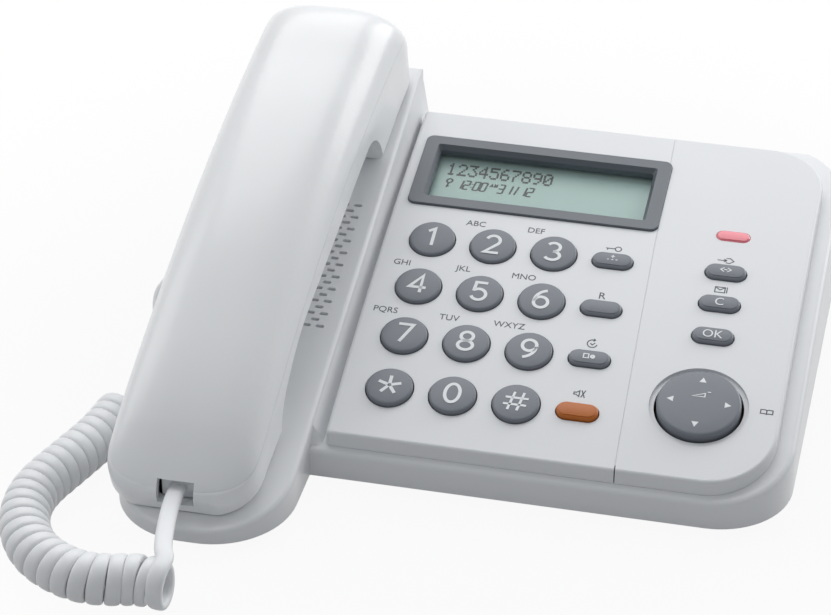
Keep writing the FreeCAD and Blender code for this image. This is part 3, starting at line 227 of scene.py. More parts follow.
finishes = {
    "caseWhite": {"tint": (0.80, 0.81, 0.825), "shade": (0.775, 0.785, 0.80), "rough": (0.33, 0.42),
                  "grainScale": 1600.0, "grainDepth": 0.05},
    "deckWhite": {"tint": (0.765, 0.775, 0.795), "shade": (0.74, 0.75, 0.77), "rough": (0.38, 0.48),
                  "grainScale": 1900.0, "grainDepth": 0.08},
    "handsetWhite": {"tint": (0.87, 0.88, 0.89), "shade": (0.85, 0.86, 0.87), "rough": (0.26, 0.34),
                     "grainDepth": 0.02, "coat": 0.15},
    "cordWhite": {"tint": (0.84, 0.85, 0.86), "shade": (0.80, 0.81, 0.825), "rough": (0.36, 0.46),
                  "patchScale": 60.0},
    "keyGrey": {"tint": (0.178, 0.196, 0.224), "shade": (0.162, 0.178, 0.204), "rough": (0.34, 0.44),
                "grainScale": 2400.0, "grainDepth": 0.10},
    "muteOrange": {"tint": (0.49, 0.125, 0.004), "shade": (0.43, 0.108, 0.003), "rough": (0.34, 0.44),
                   "grainScale": 2400.0, "grainDepth": 0.08},
    "bezelGrey": {"tint": (0.120, 0.138, 0.160), "shade": (0.108, 0.125, 0.146), "rough": (0.30, 0.40),
                  "grainScale": 2000.0, "grainDepth": 0.08},
    "lampPink": {"tint": (0.90, 0.235, 0.285), "shade": (0.85, 0.20, 0.245), "rough": (0.16, 0.24),
                 "grainDepth": 0.01, "coat": 0.4},
    "lcdGreen": {"tint": (0.365, 0.525, 0.485), "shade": (0.34, 0.495, 0.455), "rough": (0.30, 0.38),
                 "grainDepth": 0.0, "patchScale": 8.0},
    "lcdInk": {"tint": (0.02, 0.03, 0.032), "shade": (0.016, 0.024, 0.026), "rough": (0.4, 0.5)},
    "windowClear": {"tint": (0.85, 0.88, 0.87), "shade": (0.82, 0.86, 0.85), "rough": (0.05, 0.09),
                    "grainDepth": 0.0, "specular": 0.3, "alpha": 0.05},
    "printWhite": {"tint": (0.82, 0.84, 0.86), "shade": (0.79, 0.81, 0.83), "rough": (0.5, 0.6)},
    "printGrey": {"tint": (0.105, 0.115, 0.135), "shade": (0.09, 0.10, 0.118), "rough": (0.5, 0.6)},
    "jackBlack": {"tint": (0.022, 0.022, 0.024), "shade": (0.016, 0.016, 0.018), "rough": (0.35, 0.45)},
    "matGrey": {"tint": (0.28, 0.29, 0.30), "shade": (0.25, 0.26, 0.27), "rough": (0.55, 0.7)},
    "boardTan": {"tint": (0.30, 0.20, 0.08), "shade": (0.26, 0.17, 0.065), "rough": (0.4, 0.5)},
    "screwSteel": {"tint": (0.62, 0.62, 0.63), "shade": (0.55, 0.55, 0.56), "rough": (0.25, 0.38),
                   "metal": 1.0},
    "contactGold": {"tint": (0.78, 0.56, 0.24), "shade": (0.70, 0.50, 0.20), "rough": (0.2, 0.3),
                    "metal": 1.0},
    "weightIron": {"tint": (0.14, 0.14, 0.145), "shade": (0.11, 0.11, 0.115), "rough": (0.5, 0.7),
                   "metal": 1.0},
    "cellWrap": {"tint": (0.04, 0.05, 0.07), "shade": (0.03, 0.04, 0.06), "rough": (0.3, 0.4)},
    "footRubber": {"tint": (0.030, 0.030, 0.032), "shade": (0.022, 0.022, 0.024), "rough": (0.7, 0.85),
                   "grainDepth": 0.2},
    "plugClear": {"tint": (0.66, 0.69, 0.71), "shade": (0.60, 0.63, 0.65), "rough": (0.12, 0.2),
                  "coat": 0.3},
}
paint = {name: mouldedPlastic(name, look) for name, look in finishes.items()}
print("finishes mixed:", len(paint))


# Curly cord: the tails and the axis of the curls are NURBS splines,
# and the wire winds around points read from them.
cordSetup = {
    "frontTail": [(-74.5, -85.0, 14.8), (-74.4, -92.0, 14.8), (-72.7, -104.0, 15.0), (-70.6, -114.0, 15.2)],
    "coilAxis": [
        (-68.9, -119.9, 7.7), (-73.6, -119.3, 7.7), (-79.2, -119.9, 7.7), (-85.6, -121.6, 7.7),
        (-92.6, -121.8, 7.7), (-99.8, -119.4, 7.7), (-106.4, -115.6, 7.7), (-112.2, -109.3, 7.7),
        (-116.2, -100.8, 7.7), (-117.6, -91.6, 7.7), (-116.4, -83.5, 7.7), (-113.9, -76.5, 7.7),
        (-109.6, -64.5, 7.7), (-106.4, -55.0, 7.7), (-104.7, -44.5, 7.7),
    ],
    "rearTail": [(-101.0, -28.0, 1.8), (-102.5, -8.0, 1.8), (-107.0, 8.0, 2.6), (-111.0, 18.0, 8.0),
                 (-106.0, 19.6, 17.4), (-99.0, 19.6, 17.4)],
    "curlRadius": 6.1,
    "curlPitch": 4.45,
    "thickness": 2.6,
    "pitchFill": 0.97,
    "tailWidth": 5.2,
    "tailLead": 2.5,
    "tailEase": 24,
    "tailRide": 1.2,
    "rideTurns": 0.4,
    "widenTurns": 0.8,
    "firstTurns": 1.4,
    "bendReach": 2.0,
    "stepsPerTurn": 30,
    "ringPoints": 16,
    "ringPower": 2.8,
}


def splineLine(points):
    curve = bpy.data.curves.new("cordRoute", "CURVE")
    curve.dimensions = "3D"
    curve.resolution_u = 24
    spline = curve.splines.new("NURBS")
    spline.points.add(len(points) - 1)
    for slot, point in zip(spline.points, points):
        slot.co = (*point, 1)
    spline.order_u = 3
    spline.use_endpoint_u = True
    carrier = bpy.data.objects.new("cordRoute", curve)
    scene.collection.objects.link(carrier)
    line = [v.co.copy() for v in bakedMesh(carrier).vertices]
    bpy.data.objects.remove(carrier)
    return line


class LineWalk:
    def __init__(self, line):
        self.line = line
        self.marks = [0.0]
        for first, second in zip(line[:-1], line[1:]):
            self.marks.append(self.marks[-1] + (second - first).length)
        self.length = self.marks[-1]
        self.index = 0

    def at(self, distance):
        distance = min(max(distance, 0.0), self.length)
        while self.index < len(self.marks) - 2 and self.marks[self.index + 1] < distance:
            self.index += 1
        while self.index > 0 and self.marks[self.index] > distance:
            self.index -= 1
        first, second = self.line[self.index], self.line[self.index + 1]
        share = (distance - self.marks[self.index]) / max((second - first).length, 1e-9)
        return first.lerp(second, share)

    def along(self, distance):
        return (self.at(distance + 0.4 * mm) - self.at(distance - 0.4 * mm)).normalized()


def softStep(value):
    value = min(max(value, 0.0), 1.0)
    return value * value * (3 - 2 * value)


def curledLine(setup):
    walk = LineWalk(splineLine([Vector(p) * mm for p in setup["coilAxis"]]))
    turns = round(walk.length / (setup["curlPitch"] * mm)) + 0.5
    count = int(turns * setup["stepsPerTurn"])
    reach = setup["bendReach"] * mm
    line = []
    up = Vector((0, 0, 1))
    for k in range(count + 1):
        turn = turns * k / count
        # the first curl lies close under the tail
        stop = walk.length * k / count * softStep(turn / setup["firstTurns"])
        along = walk.along(stop)
        side = up.cross(along).normalized()
        angle = math.pi / 2 - 2 * math.pi * turn
        radial = side * math.cos(angle) + along.cross(side) * math.sin(angle)
        ride = setup["tailRide"] * (1 - softStep(turn / setup["rideTurns"]))
        radius = (setup["curlRadius"] + ride) * mm
        bend = walk.along(stop + reach) - walk.along(stop - reach)
        stretch = 1 - radial.dot(bend) / (2 * reach) * radius  # curls fan out on the outside of a bend
        width = min(setup["curlPitch"] * setup["pitchFill"] * stretch, setup["tailWidth"])
        width += (setup["tailWidth"] - width) * (1 - softStep(turn / setup["widenTurns"]))
        line.append((walk.at(stop) + radial * radius, radial, width * mm))
    return line, turns


def tailLine(setup, route, curlEnd, inward, facing):
    tip, before = curlEnd[0][0], curlEnd[1][0]
    lead = tip + (tip - before).normalized() * setup["tailLead"] * mm  # the tail leaves along the last curl
    points = splineLine([tip, lead] + [Vector(p) * mm for p in route])
    tail = []
    for k, point in enumerate(points[1:], 1):
        share = min(k / setup["tailEase"], 1.0)
        width = curlEnd[0][2] + (setup["tailWidth"] * mm - curlEnd[0][2]) * share
        tail.append((point, facing, width))
    return tail[::-1] if inward else tail


def roundedBand(turn, power):
    x, y = math.cos(turn), math.sin(turn)
    return math.copysign(abs(x) ** (2 / power), x), math.copysign(abs(y) ** (2 / power), y)


def makeCord(setup):
    curls, turns = curledLine(setup)
    up = Vector((0, 0, 1))
    line = tailLine(setup, setup["frontTail"][::-1], curls[:2], True, up)
    line += curls
    line += tailLine(setup, setup["rearTail"], curls[:-3:-1], False, -up)
    ring = setup["ringPoints"]
    points = []
    faces = []
    for index, (centre, radial, width) in enumerate(line):
        before = line[max(index - 1, 0)][0]
        after = line[min(index + 1, len(line) - 1)][0]
        along = (after - before).normalized()
        wide = along.cross(radial).normalized()
        thick = wide.cross(along).normalized()
        for k in range(ring):
            x, y = roundedBand(2 * math.pi * k / ring, setup["ringPower"])
            points.append(centre + wide * (x * width / 2) + thick * (y * setup["thickness"] * mm / 2))
    for index in range(len(line) - 1):
        for k in range(ring):
            here = index * ring + k
            beside = index * ring + (k + 1) % ring
            faces.append((here, beside, beside + ring, here + ring))
    faces.append(tuple(reversed(range(ring))))
    faces.append(tuple(range(len(points) - ring, len(points))))
    mesh = meshFrom("curlyCord", points, faces)
    closeOutwards(mesh)
    smoothByAngle(mesh, 60)
    cord = addPiece("curlyCord", mesh, paint["cordWhite"], None)
    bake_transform(cord)
    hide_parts("curly_cord")


makeCord(cordSetup)


# CAD shells that keep their shape: merged, smoothed and shown in place of the loose triangles.
shellFinish = {
    "top_cover": ("topCover", "caseWhite", "base", "case", 32),
    "bottom_cover": ("bottomCover", "caseWhite", "base", "case", 28),
    "keypad_panel": ("keypadPanel", "deckWhite", "base", "case", 32),
    "function_panel": ("functionPanel", "deckWhite", "base", "case", 32),
    "display_bezel": ("displayBezel", "bezelGrey", "base", "bezel", 32),
    "battery_cover": ("batteryCover", "caseWhite", "battery_lid", "case", 28),
    "handset_outer_shell": ("handsetBack", "handsetWhite", "handset", "handset", 40),
    "handset_inner_shell": ("handsetFace", "handsetWhite", "handset", "handset", 40),
}


def smoothShell(nodeName, pieceName, finish, body, slot, degrees):
    mesh = nodes[nodeName].data.copy()
    work = bmesh.new()
    work.from_mesh(mesh)
    bmesh.ops.remove_doubles(work, verts=work.verts, dist=2e-6)
    work.to_mesh(mesh)
    work.free()
    mesh.name = pieceName
    if mesh.has_custom_normals:
        mesh.attributes.remove(mesh.attributes["custom_normal"])
    smoothByAngle(mesh, degrees)
    piece = addPiece(pieceName, mesh, paint[finish], body)
    shadeEvenly(piece)
    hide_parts(nodeName)


for nodeName, look in shellFinish.items():
    smoothShell(nodeName, *look)
print("shells smoothed:", len(shellFinish))


# Plain CAD nodes that only need their finish.
nodeFinish = {
    "display_window": "windowClear", "lcd_module": "lcdGreen", "key_mat": "matGrey",
    "key_board": "boardTan", "function_board": "boardTan", "main_board": "boardTan",
    "ringer_speaker": "jackBlack", "hook_plunger": "jackBlack", "line_jack": "jackBlack",
    "base_cord_jack": "jackBlack", "handset_cord_jack": "jackBlack", "navigator_cross": "jackBlack",
    "battery_cells": "cellWrap", "battery_contacts": "screwSteel", "rubber_feet": "footRubber",
    "case_screws": "screwSteel", "handset_screws": "screwSteel", "receiver_capsule": "jackBlack",
    "microphone": "jackBlack", "handset_weight": "weightIron", "handset_cord_plug": "plugClear",
    "base_cord_plug": "plugClear",
}
for nodeName, finish in nodeFinish.items():
    nodes[nodeName].data.materials.clear()
    nodes[nodeName].data.materials.append(paint[finish])


# Places on the crowned deck, in millimetres from the middle of the number keys.
deckSetup = {"origin": (-5.0, -5.0, 30.0), "tiltDeg": 14.0, "crownRadius": 800.0}


def deckPlace(u, v, lift, follow=False):
    crown = deckSetup["crownRadius"]
    drop = math.sqrt(crown ** 2 - v ** 2) - crown
    place = Matrix.Translation(Vector(deckSetup["origin"]) * mm)
    place = place @ Matrix.Rotation(math.radians(deckSetup["tiltDeg"]), 4, "X")
    place = place @ Matrix.Translation(Vector((u, v, drop + lift)) * mm)
    if follow:
        place = place @ Matrix.Rotation(-math.asin(v / crown), 4, "X")
    return place


# Strokes in millimetres, drawn as flat ribbons with mitred corners.
def ovalPath(x, y, across, rise, start=0.0, sweep=360.0, count=20):
    turns = [math.radians(start + sweep * k / count) for k in range(count + 1)]
    return [(x + across * math.cos(t), y + rise * math.sin(t)) for t in turns]


def circlePath(x, y, radius, count=16, start=0.0, sweep=360.0):
    return ovalPath(x, y, radius, radius, start, sweep, count)


def boxPath(x0, y0, x1, y1):
    return [(x0, y0), (x1, y0), (x1, y1), (x0, y1), (x0, y0)]


def strokeMesh(name, strokes, width):
    points = []
    faces = []
    for stroke in strokes:
        line = [Vector(spot) for spot in stroke]
        closed = (line[0] - line[-1]).length < 1e-6
        if closed:
            line.pop()
        count = len(line)
        base = len(points)
        for k in range(count):
            before = line[k - 1] if k or closed else line[k] * 2 - line[k + 1]
            after = line[(k + 1) % count] if k < count - 1 or closed else line[k] * 2 - line[k - 1]
            first = (line[k] - before).normalized()
            second = (after - line[k]).normalized()
            middle = (first + second).normalized()
            reach = width / 2 / max(middle.dot(first), 0.45)
            side = Vector((-middle.y, middle.x)) * reach
            for spot in (line[k] + side, line[k] - side):
                points.append(Vector((spot.x, spot.y, 0)) * mm)
        for k in range(count if closed else count - 1):
            here = base + 2 * k
            ahead = base + 2 * ((k + 1) % count)
            faces.append((here, here + 1, ahead + 1, ahead))
    return meshFrom(name, points, faces)


# Keys: a rounded cap drawn as rings of one outline, each drawn in and raised.
keySetup = {
    "pitchU": 19.0, "pitchV": 20.3, "radius": 7.0, "ovalLength": 12.4, "ovalWidth": 6.0,
    "ovalColumn": 37.2, "functionColumn": 71.8, "functionRows": (31.3, 18.0, 4.7),
    "height": 1.5, "sink": 3.2, "dome": 0.35, "shoulder": 0.9,
    "rimPoints": 64, "domeShares": (0.75, 0.5, 0.25, 0.06),
    "digitStroke": 1.04, "fineStroke": 0.78, "digitLift": 0.02, "panelLift": 0.03,
    "letterSize": 3.2, "letterShift": 5.2, "letterGrow": 0.65, "letterRise": 9.5,
    "wordSize": 4.2, "recallSize": 3.8, "recallShift": (-0.5, 5.6),
}


def stadium(length, width, inset, count):
    radius = width / 2 - inset
    reach = (length - width) / 2
    outline = []
    for k in range(count):
        angle = 2 * math.pi * (k + 0.5) / count
        shift = reach if math.cos(angle) > 0 else -reach
        outline.append((shift + radius * math.cos(angle), radius * math.sin(angle)))
    return outline


def ringStack(name, outlines):
    points = []
    faces = []
    count = len(outlines[0][0])
    for outline, level in outlines:
        points += [Vector((x, y, level)) * mm for x, y in outline]
    for row in range(len(outlines) - 1):
        for k in range(count):
            here = row * count + k
            beside = row * count + (k + 1) % count
            faces.append((here, beside, beside + count, here + count))
    faces.append(tuple(reversed(range(count))))
    faces.append(tuple(range(len(points) - count, len(points))))
    return meshFrom(name, points, faces)


def capMesh(name, length, width, setup):
    top = setup["height"]
    shoulder = setup["shoulder"]
    levels = [(0.0, -setup["sink"]), (0.0, top - shoulder)]
    for k in range(1, 6):  # a quarter round from the wall to the domed top
        turn = math.radians(18 * k)
        rise = (shoulder - setup["dome"]) * math.sin(turn)
        levels.append((shoulder * (1 - math.cos(turn)), top - shoulder + rise))
    reach = width / 2
    for share in setup["domeShares"]:
        levels.append((reach * (1 - share), top - setup["dome"] * share ** 2))
    rings = [(stadium(length, width, inset, setup["rimPoints"]), level) for inset, level in levels]
    return ringStack(name, rings)


def placeMesh(mesh, matrix):
    mesh.transform(matrix)
    mesh.update()


def makeKey(name, nodeName, u, v, length, width, finish, slot):
    mesh = capMesh(name, length, width, keySetup)
    placeMesh(mesh, deckPlace(u, v, 0))
    closeOutwards(mesh)
    smoothByAngle(mesh, 50)
    cap = addPiece(name, mesh, paint[finish], nodeName + "_body")
    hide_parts(nodeName)


def lettering(name, words, size, matrix, finish, body):
    font = bpy.data.curves.new(name, "FONT")
    font.body = words
    font.size = size * mm
    font.align_x = "CENTER"
    font.align_y = "CENTER"
    font.extrude = 0.015 * mm
    font.resolution_u = 4
    carrier = bpy.data.objects.new(name, font)
    scene.collection.objects.link(carrier)
    mesh = bakedMesh(carrier)
    bpy.data.objects.remove(carrier)
    mesh.name = name
    low = [min(v.co[axis] for v in mesh.vertices) for axis in range(2)]
    high = [max(v.co[axis] for v in mesh.vertices) for axis in range(2)]
    mesh.transform(Matrix.Translation((-(low[0] + high[0]) / 2, -(low[1] + high[1]) / 2, 0)))
    placeMesh(mesh, matrix)
    addPiece(name, mesh, paint[finish], body)


numberKeys = ["1", "2", "3", "4", "5", "6", "7", "8", "9", "star", "0", "hash"]
keyLetters = {"2": "ABC", "3": "DEF", "4": "GHI", "5": "JKL",
              "6": "MNO", "7": "PQRS", "8": "TUV", "9": "WXYZ"}
digitStrokes = {
    "1": [[(-1.5, 2.3), (0.35, 3.5), (0.35, -3.5)]],
    "2": [ovalPath(0, 1.5, 2.05, 2.0, 165, -205) + [(-2.1, -3.5), (2.3, -3.5)]],
    "3": [ovalPath(-0.2, 1.75, 1.95, 1.75, 150, -240), ovalPath(-0.2, -1.75, 2.3, 1.75, 90, -245)],
    "4": [[(1.0, -3.5), (1.0, 3.5), (-2.5, -1.4), (2.6, -1.4)]],
    "5": [[(2.0, 3.5), (-1.5, 3.5), (-1.75, 0.45)] + ovalPath(-0.15, -1.3, 2.25, 2.2, 128, -285)],
    "6": [ovalPath(0, -1.35, 2.15, 2.15), ovalPath(2.1, -1.1, 4.25, 4.6, 100, 80)],
    "7": [[(-2.2, 3.5), (2.3, 3.5), (-0.8, -3.5)]],
    "8": [ovalPath(0, 1.8, 1.85, 1.7), ovalPath(0, -1.7, 2.25, 1.8)],
    "9": [ovalPath(0, 1.35, 2.15, 2.15), ovalPath(-2.1, 1.1, 4.25, 4.6, 280, 80)],
    "0": [ovalPath(0, 0, 2.2, 3.5, count=32)],
    "star": [[(reach * math.cos(math.radians(90 + 72 * k)), reach * math.sin(math.radians(90 + 72 * k)))
              for reach in (-0.45, 3.6)] for k in range(5)],
    "hash": [[(-2.0, -3.5), (-0.8, 3.5)], [(0.8, -3.5), (2.0, 3.5)],
             [(-3.3, 1.3), (3.6, 1.3)], [(-3.6, -1.3), (3.3, -1.3)]],
}


def makeNumberKeys(setup):
    for index, name in enumerate(numberKeys):
        u = (index % 3 - 1) * setup["pitchU"]
        v = (1.5 - index // 3) * setup["pitchV"]
        width = 2 * setup["radius"]
        makeKey("keyCap_" + name, "key_" + name, u, v, width, width, "keyGrey", "keys")
        stroke = setup["fineStroke" if name == "hash" else "digitStroke"]
        digit = strokeMesh("keyDigit_" + name, digitStrokes[name], stroke)
        placeMesh(digit, deckPlace(u, v, setup["height"] + setup["digitLift"]))
        addPiece("keyDigit_" + name, digit, paint["printWhite"], "key_" + name + "_body")
        if name in keyLetters:
            shift = setup["letterShift"] + setup["letterGrow"] * len(keyLetters[name])
            spot = deckPlace(u - shift, v + setup["letterRise"], setup["panelLift"], follow=True)
            words = keyLetters[name]
            lettering("keyLetters_" + name, words, setup["letterSize"], spot, "printGrey", "base")


makeNumberKeys(keySetup)


ovalKeys = {
    "lock": (0, 1.5, "keyGrey", "keys"), "recall": (0, 0.5, "keyGrey", "keys"),
    "redial": (0, -0.5, "keyGrey", "keys"), "mute": (0, -1.5, "muteOrange", "mute_key"),
    "transfer": (1, 0, "keyGrey", "keys"), "clear": (1, 1, "keyGrey", "keys"),
    "ok": (1, 2, "keyGrey", "keys"),
}


def ovalSpot(name):
    column, row = ovalKeys[name][:2]
    if column == 0:
        return keySetup["ovalColumn"], row * keySetup["pitchV"]
    return keySetup["functionColumn"], keySetup["functionRows"][row]


def makeOvalKeys(setup):
    length, width = setup["ovalLength"], setup["ovalWidth"]
    for name, key in ovalKeys.items():
        makeKey("keyCap_" + name, "key_" + name, *ovalSpot(name), length, width, *key[2:])
    for name, words in (("clear", "C"), ("ok", "OK")):
        top = deckPlace(*ovalSpot(name), setup["height"] + setup["digitLift"])
        lettering("keyWords_" + name, words, setup["wordSize"], top, "printWhite", "key_" + name + "_body")
    u, v = ovalSpot("recall")
    shift = setup["recallShift"]
    spot = deckPlace(u + shift[0], v + shift[1], setup["panelLift"], follow=True)
    lettering("recallLetter", "R", setup["recallSize"], spot, "printGrey", "base")


makeOvalKeys(keySetup)
print("keys set")


# Printed signs, drawn as strokes in millimetres.
signSetup = {"strokeWidth": 0.34, "lift": 0.03, "bookSpot": (91.5, -21.4)}
panelSigns = {
    "lockSign": ("lock", (-0.5, 5.7), [
        circlePath(1.35, 0, 0.95), [(0.4, 0), (-2.5, 0)], [(-1.9, 0), (-1.9, -0.75)]]),
    "redialSign": ("redial", (-0.2, 6.3), [
        circlePath(0, 0, 1.5, 16, 70, 280), [(0.2, 1.0), (0.75, 1.45), (0.3, 2.0)],
        [(-0.6, 0.1), (0.1, -0.5), (0.8, 0.4)]]),
    "muteSign": ("mute", (-0.6, 7.0), [
        [(-1.6, 0.4), (-0.9, 0.4), (0, 1.1), (0, -1.1), (-0.9, -0.4), (-1.6, -0.4), (-1.6, 0.4)],
        [(0.6, -1.3), (1.7, 1.4)], [(0.6, 1.3), (1.7, -1.4)]]),
    "transferSign": ("transfer", (-0.8, 5.5), [
        [(-2.5, 0), (0.3, 0)], [(-0.5, 0.6), (0.3, 0), (-0.5, -0.6)],
        [(0.1, 0.9), (1.3, 1.1), (2.5, 0), (1.3, -1.1), (0.1, -0.9)]]),
    "envelopeSign": ("clear", (-0.5, 6.2), [
        boxPath(-1.7, -1.1, 1.3, 1.1), [(-1.7, 1.1), (-0.2, -0.1), (1.3, 1.1)],
        [(1.9, -1.2), (1.9, 1.3)]]),
}
keyMarks = {
    "lock": [[(-0.6, 0.9), (0.6, 0.9)], [(0, 0.3), (0, 1.5)], [(-1.6, -0.4), (-1.0, -0.4)],
             [(-0.3, -0.4), (0.3, -0.4)], [(1.0, -0.4), (1.6, -0.4)]],
    "redial": [boxPath(-1.7, -0.7, -0.2, 0.9), circlePath(1.0, 0.0, 0.3, 8),
               circlePath(1.0, 0.0, 0.62, 12)],
    "transfer": [[(-0.5, 1.0), (-1.6, 0.2), (-0.5, -0.6)], [(0.5, 1.0), (1.6, 0.2), (0.5, -0.6)],
                 [(-0.5, 0.2), (0.5, 0.2)]],
}
bookSign = [[(0.0, 0.62), (-0.59, 0.81), (-1.78, 0.74), (-1.78, -0.68), (-0.59, -0.62), (0.0, -0.81),
             (0.59, -0.62), (1.78, -0.68), (1.78, 0.74), (0.59, 0.81), (0.0, 0.62), (0.0, -0.81)]]


def makeSigns(setup):
    for name, (keyName, shift, strokes) in panelSigns.items():
        u, v = ovalSpot(keyName)
        mesh = strokeMesh(name, strokes, setup["strokeWidth"])
        placeMesh(mesh, deckPlace(u + shift[0], v + shift[1], setup["lift"], follow=True))
        addPiece(name, mesh, paint["printGrey"], "base")
    for keyName, strokes in keyMarks.items():
        u, v = ovalSpot(keyName)
        mesh = strokeMesh("keyMark_" + keyName, strokes, setup["strokeWidth"])
        placeMesh(mesh, deckPlace(u, v, keySetup["height"] + keySetup["digitLift"]))
        addPiece("keyMark_" + keyName, mesh, paint["printWhite"], "key_" + keyName + "_body")
    mesh = strokeMesh("bookSign", bookSign, setup["strokeWidth"])
    placeMesh(mesh, deckPlace(*setup["bookSpot"], setup["lift"], follow=True))
    addPiece("bookSign", mesh, paint["printGrey"], "base")


makeSigns(signSetup)
print("signs printed:", len(panelSigns) + len(keyMarks) + 1)


# One node tree sets small boxes on points: display dots and contact wires.
def makeBoxTree():
    tree = bpy.data.node_groups.new("boxesOnPoints", "GeometryNodeTree")
    groupSockets(tree, "INPUT", [
        ("Points", "NodeSocketGeometry", None),
        ("Box Size", "NodeSocketVector", None),
        ("Box Turn", "NodeSocketVector", None),
        ("Finish", "NodeSocketMaterial", None),
    ])
    groupSockets(tree, "OUTPUT", [("Boxes", "NodeSocketGeometry", None)])
    link = tree.links.new
    inside = tree.nodes.new("NodeGroupInput")
    outside = tree.nodes.new("NodeGroupOutput")
    box = tree.nodes.new("GeometryNodeMeshCube")
    turn = tree.nodes.new("FunctionNodeEulerToRotation")
    spread = tree.nodes.new("GeometryNodeInstanceOnPoints")
    realize = tree.nodes.new("GeometryNodeRealizeInstances")
    finish = tree.nodes.new("GeometryNodeSetMaterial")
    link(inside.outputs["Box Size"], box.inputs["Size"])
    link(inside.outputs["Box Turn"], turn.inputs["Euler"])
    link(inside.outputs["Points"], spread.inputs["Points"])
    link(box.outputs["Mesh"], spread.inputs["Instance"])
    link(turn.outputs["Rotation"], spread.inputs["Rotation"])
    link(spread.outputs["Instances"], realize.inputs["Geometry"])
    link(realize.outputs["Geometry"], finish.inputs["Geometry"])
    link(inside.outputs["Finish"], finish.inputs["Material"])
    link(finish.outputs["Geometry"], outside.inputs["Boxes"])
    return tree


boxTree = makeBoxTree()


def boxesAt(name, points, size, turn, finish, body):
    carrier = bpy.data.objects.new(name + "Points", meshFrom(name + "Points", points, []))
    scene.collection.objects.link(carrier)
    nodesModifier = carrier.modifiers.new("boxes", "NODES")
    nodesModifier.node_group = boxTree
    values = {"Box Size": size, "Box Turn": turn, "Finish": paint[finish]}
    for item in boxTree.interface.items_tree:
        if item.item_type == "SOCKET" and item.in_out == "INPUT" and item.name in values:
            nodesModifier[item.identifier] = values[item.name]
    mesh = bakedMesh(carrier)
    bpy.data.objects.remove(carrier)
    mesh.name = name
    addPiece(name, mesh, paint[finish], body)


# Display: dots in the first line, slanted bars in the second.
displaySetup = {
    "u": 8.95, "v": 61.9, "lift": 0.03,
    "dotPitch": (0.585, 0.80), "dotSize": (0.66, 0.88, 0.02),
    "firstLine": {"digits": "1234567890", "start": -29.9, "pitch": 3.45, "middle": 6.5},
    "secondLine": {
        "height": 4.6, "width": 1.75, "bar": 0.62, "slant": 0.16, "middle": -0.3, "fit": (0.94, 0.74),
        "keySign": [circlePath(-32.3, 1.2, 0.95, 10), [(-32.3, 0.2), (-32.3, -2.0)],
                    [(-32.3, -1.4), (-31.6, -1.4)]],
        "digits": (("1", -28.4), ("2", -26.0), ("0", -22.6), ("0", -20.2),
                   ("3", -14.2), ("1", -11.6), ("1", -6.8), ("2", -4.4)),
        "marks": [[(-24.3, 0.9), (-24.3, 0.6)], [(-24.3, -0.6), (-24.3, -0.9)], [(-9.2, -2.0), (-8.8, 2.0)],
                  [(-18.2, 0.4), (-17.8, 1.6), (-17.4, 0.4)],
                  [(-16.8, 0.4), (-16.8, 1.6), (-16.4, 0.9), (-16.0, 1.6), (-16.0, 0.4)]],
    },
}
dotRows = {
    "1": ("..#..", ".##..", "..#..", "..#..", "..#..", "..#..", ".###."),
    "2": (".###.", "#...#", "....#", "...#.", "..#..", ".#...", "#####"),
    "3": ("#####", "...#.", "..#..", "...#.", "....#", "#...#", ".###."),
    "4": ("...#.", "..##.", ".#.#.", "#..#.", "#####", "...#.", "...#."),
    "5": ("#####", "#....", "####.", "....#", "....#", "#...#", ".###."),
    "6": ("..##.", ".#...", "#....", "####.", "#...#", "#...#", ".###."),
    "7": ("#####", "....#", "...#.", "..#..", ".#...", ".#...", ".#..."),
    "8": (".###.", "#...#", "#...#", ".###.", "#...#", "#...#", ".###."),
    "9": (".###.", "#...#", "#...#", ".####", "....#", "...#.", ".##.."),
    "0": (".###.", "#...#", "#..##", "#.#.#", "##..#", "#...#", ".###."),
}
barsOfDigit = {"0": "abcdef", "1": "bc", "2": "abged", "3": "abgcd"}


def displayPlace(setup):
    flat = deckPlace(setup["u"], setup["v"], 0, follow=True)
    back = flat.inverted()
    top = max((back @ v.co).z for v in nodes["lcd_module"].data.vertices)
    return flat @ Matrix.Translation((0, 0, top + setup["lift"] * mm))


def barStrokes(digit, width, height):
    x, y = width / 2, height / 2
    ends = {"a": ((-x, y), (x, y)), "b": ((x, y), (x, 0)), "c": ((x, 0), (x, -y)), "d": ((-x, -y), (x, -y)),
            "e": ((-x, -y), (-x, 0)), "f": ((-x, 0), (-x, y)), "g": ((-x, 0), (x, 0))}
    return [list(ends[bar]) for bar in barsOfDigit[digit]]


def secondLineStrokes(line):
    strokes = list(line["keySign"])
    for digit, u in line["digits"]:
        for stroke in barStrokes(digit, line["width"], line["height"] - line["bar"]):
            strokes.append([(x + u, y) for x, y in stroke])
    strokes += line["marks"]
    scale, shift = line["fit"]
    slanted = []
    for stroke in strokes:
        slanted.append([(scale * x + shift + line["slant"] * y, y + line["middle"]) for x, y in stroke])
    return slanted


def makeDisplay(setup):
    place = displayPlace(setup)
    line = setup["firstLine"]
    dots = []
    for index, digit in enumerate(line["digits"]):
        for row, pattern in enumerate(dotRows[digit]):
            for column, mark in enumerate(pattern):
                if mark == "#":
                    x = line["start"] + index * line["pitch"] + (column - 2) * setup["dotPitch"][0]
                    y = line["middle"] + (3 - row) * setup["dotPitch"][1]
                    dots.append(place @ (Vector((x, y, 0)) * mm))
    size = tuple(side * mm for side in setup["dotSize"])
    boxesAt("displayDots", dots, size, tuple(place.to_euler()), "lcdInk", "base")
    line = setup["secondLine"]
    mesh = strokeMesh("displayBars", secondLineStrokes(line), line["bar"])
    placeMesh(mesh, place)
    addPiece("displayBars", mesh, paint["lcdInk"], "base")
    print("display drawn with", len(dots), "dots")


makeDisplay(displaySetup)


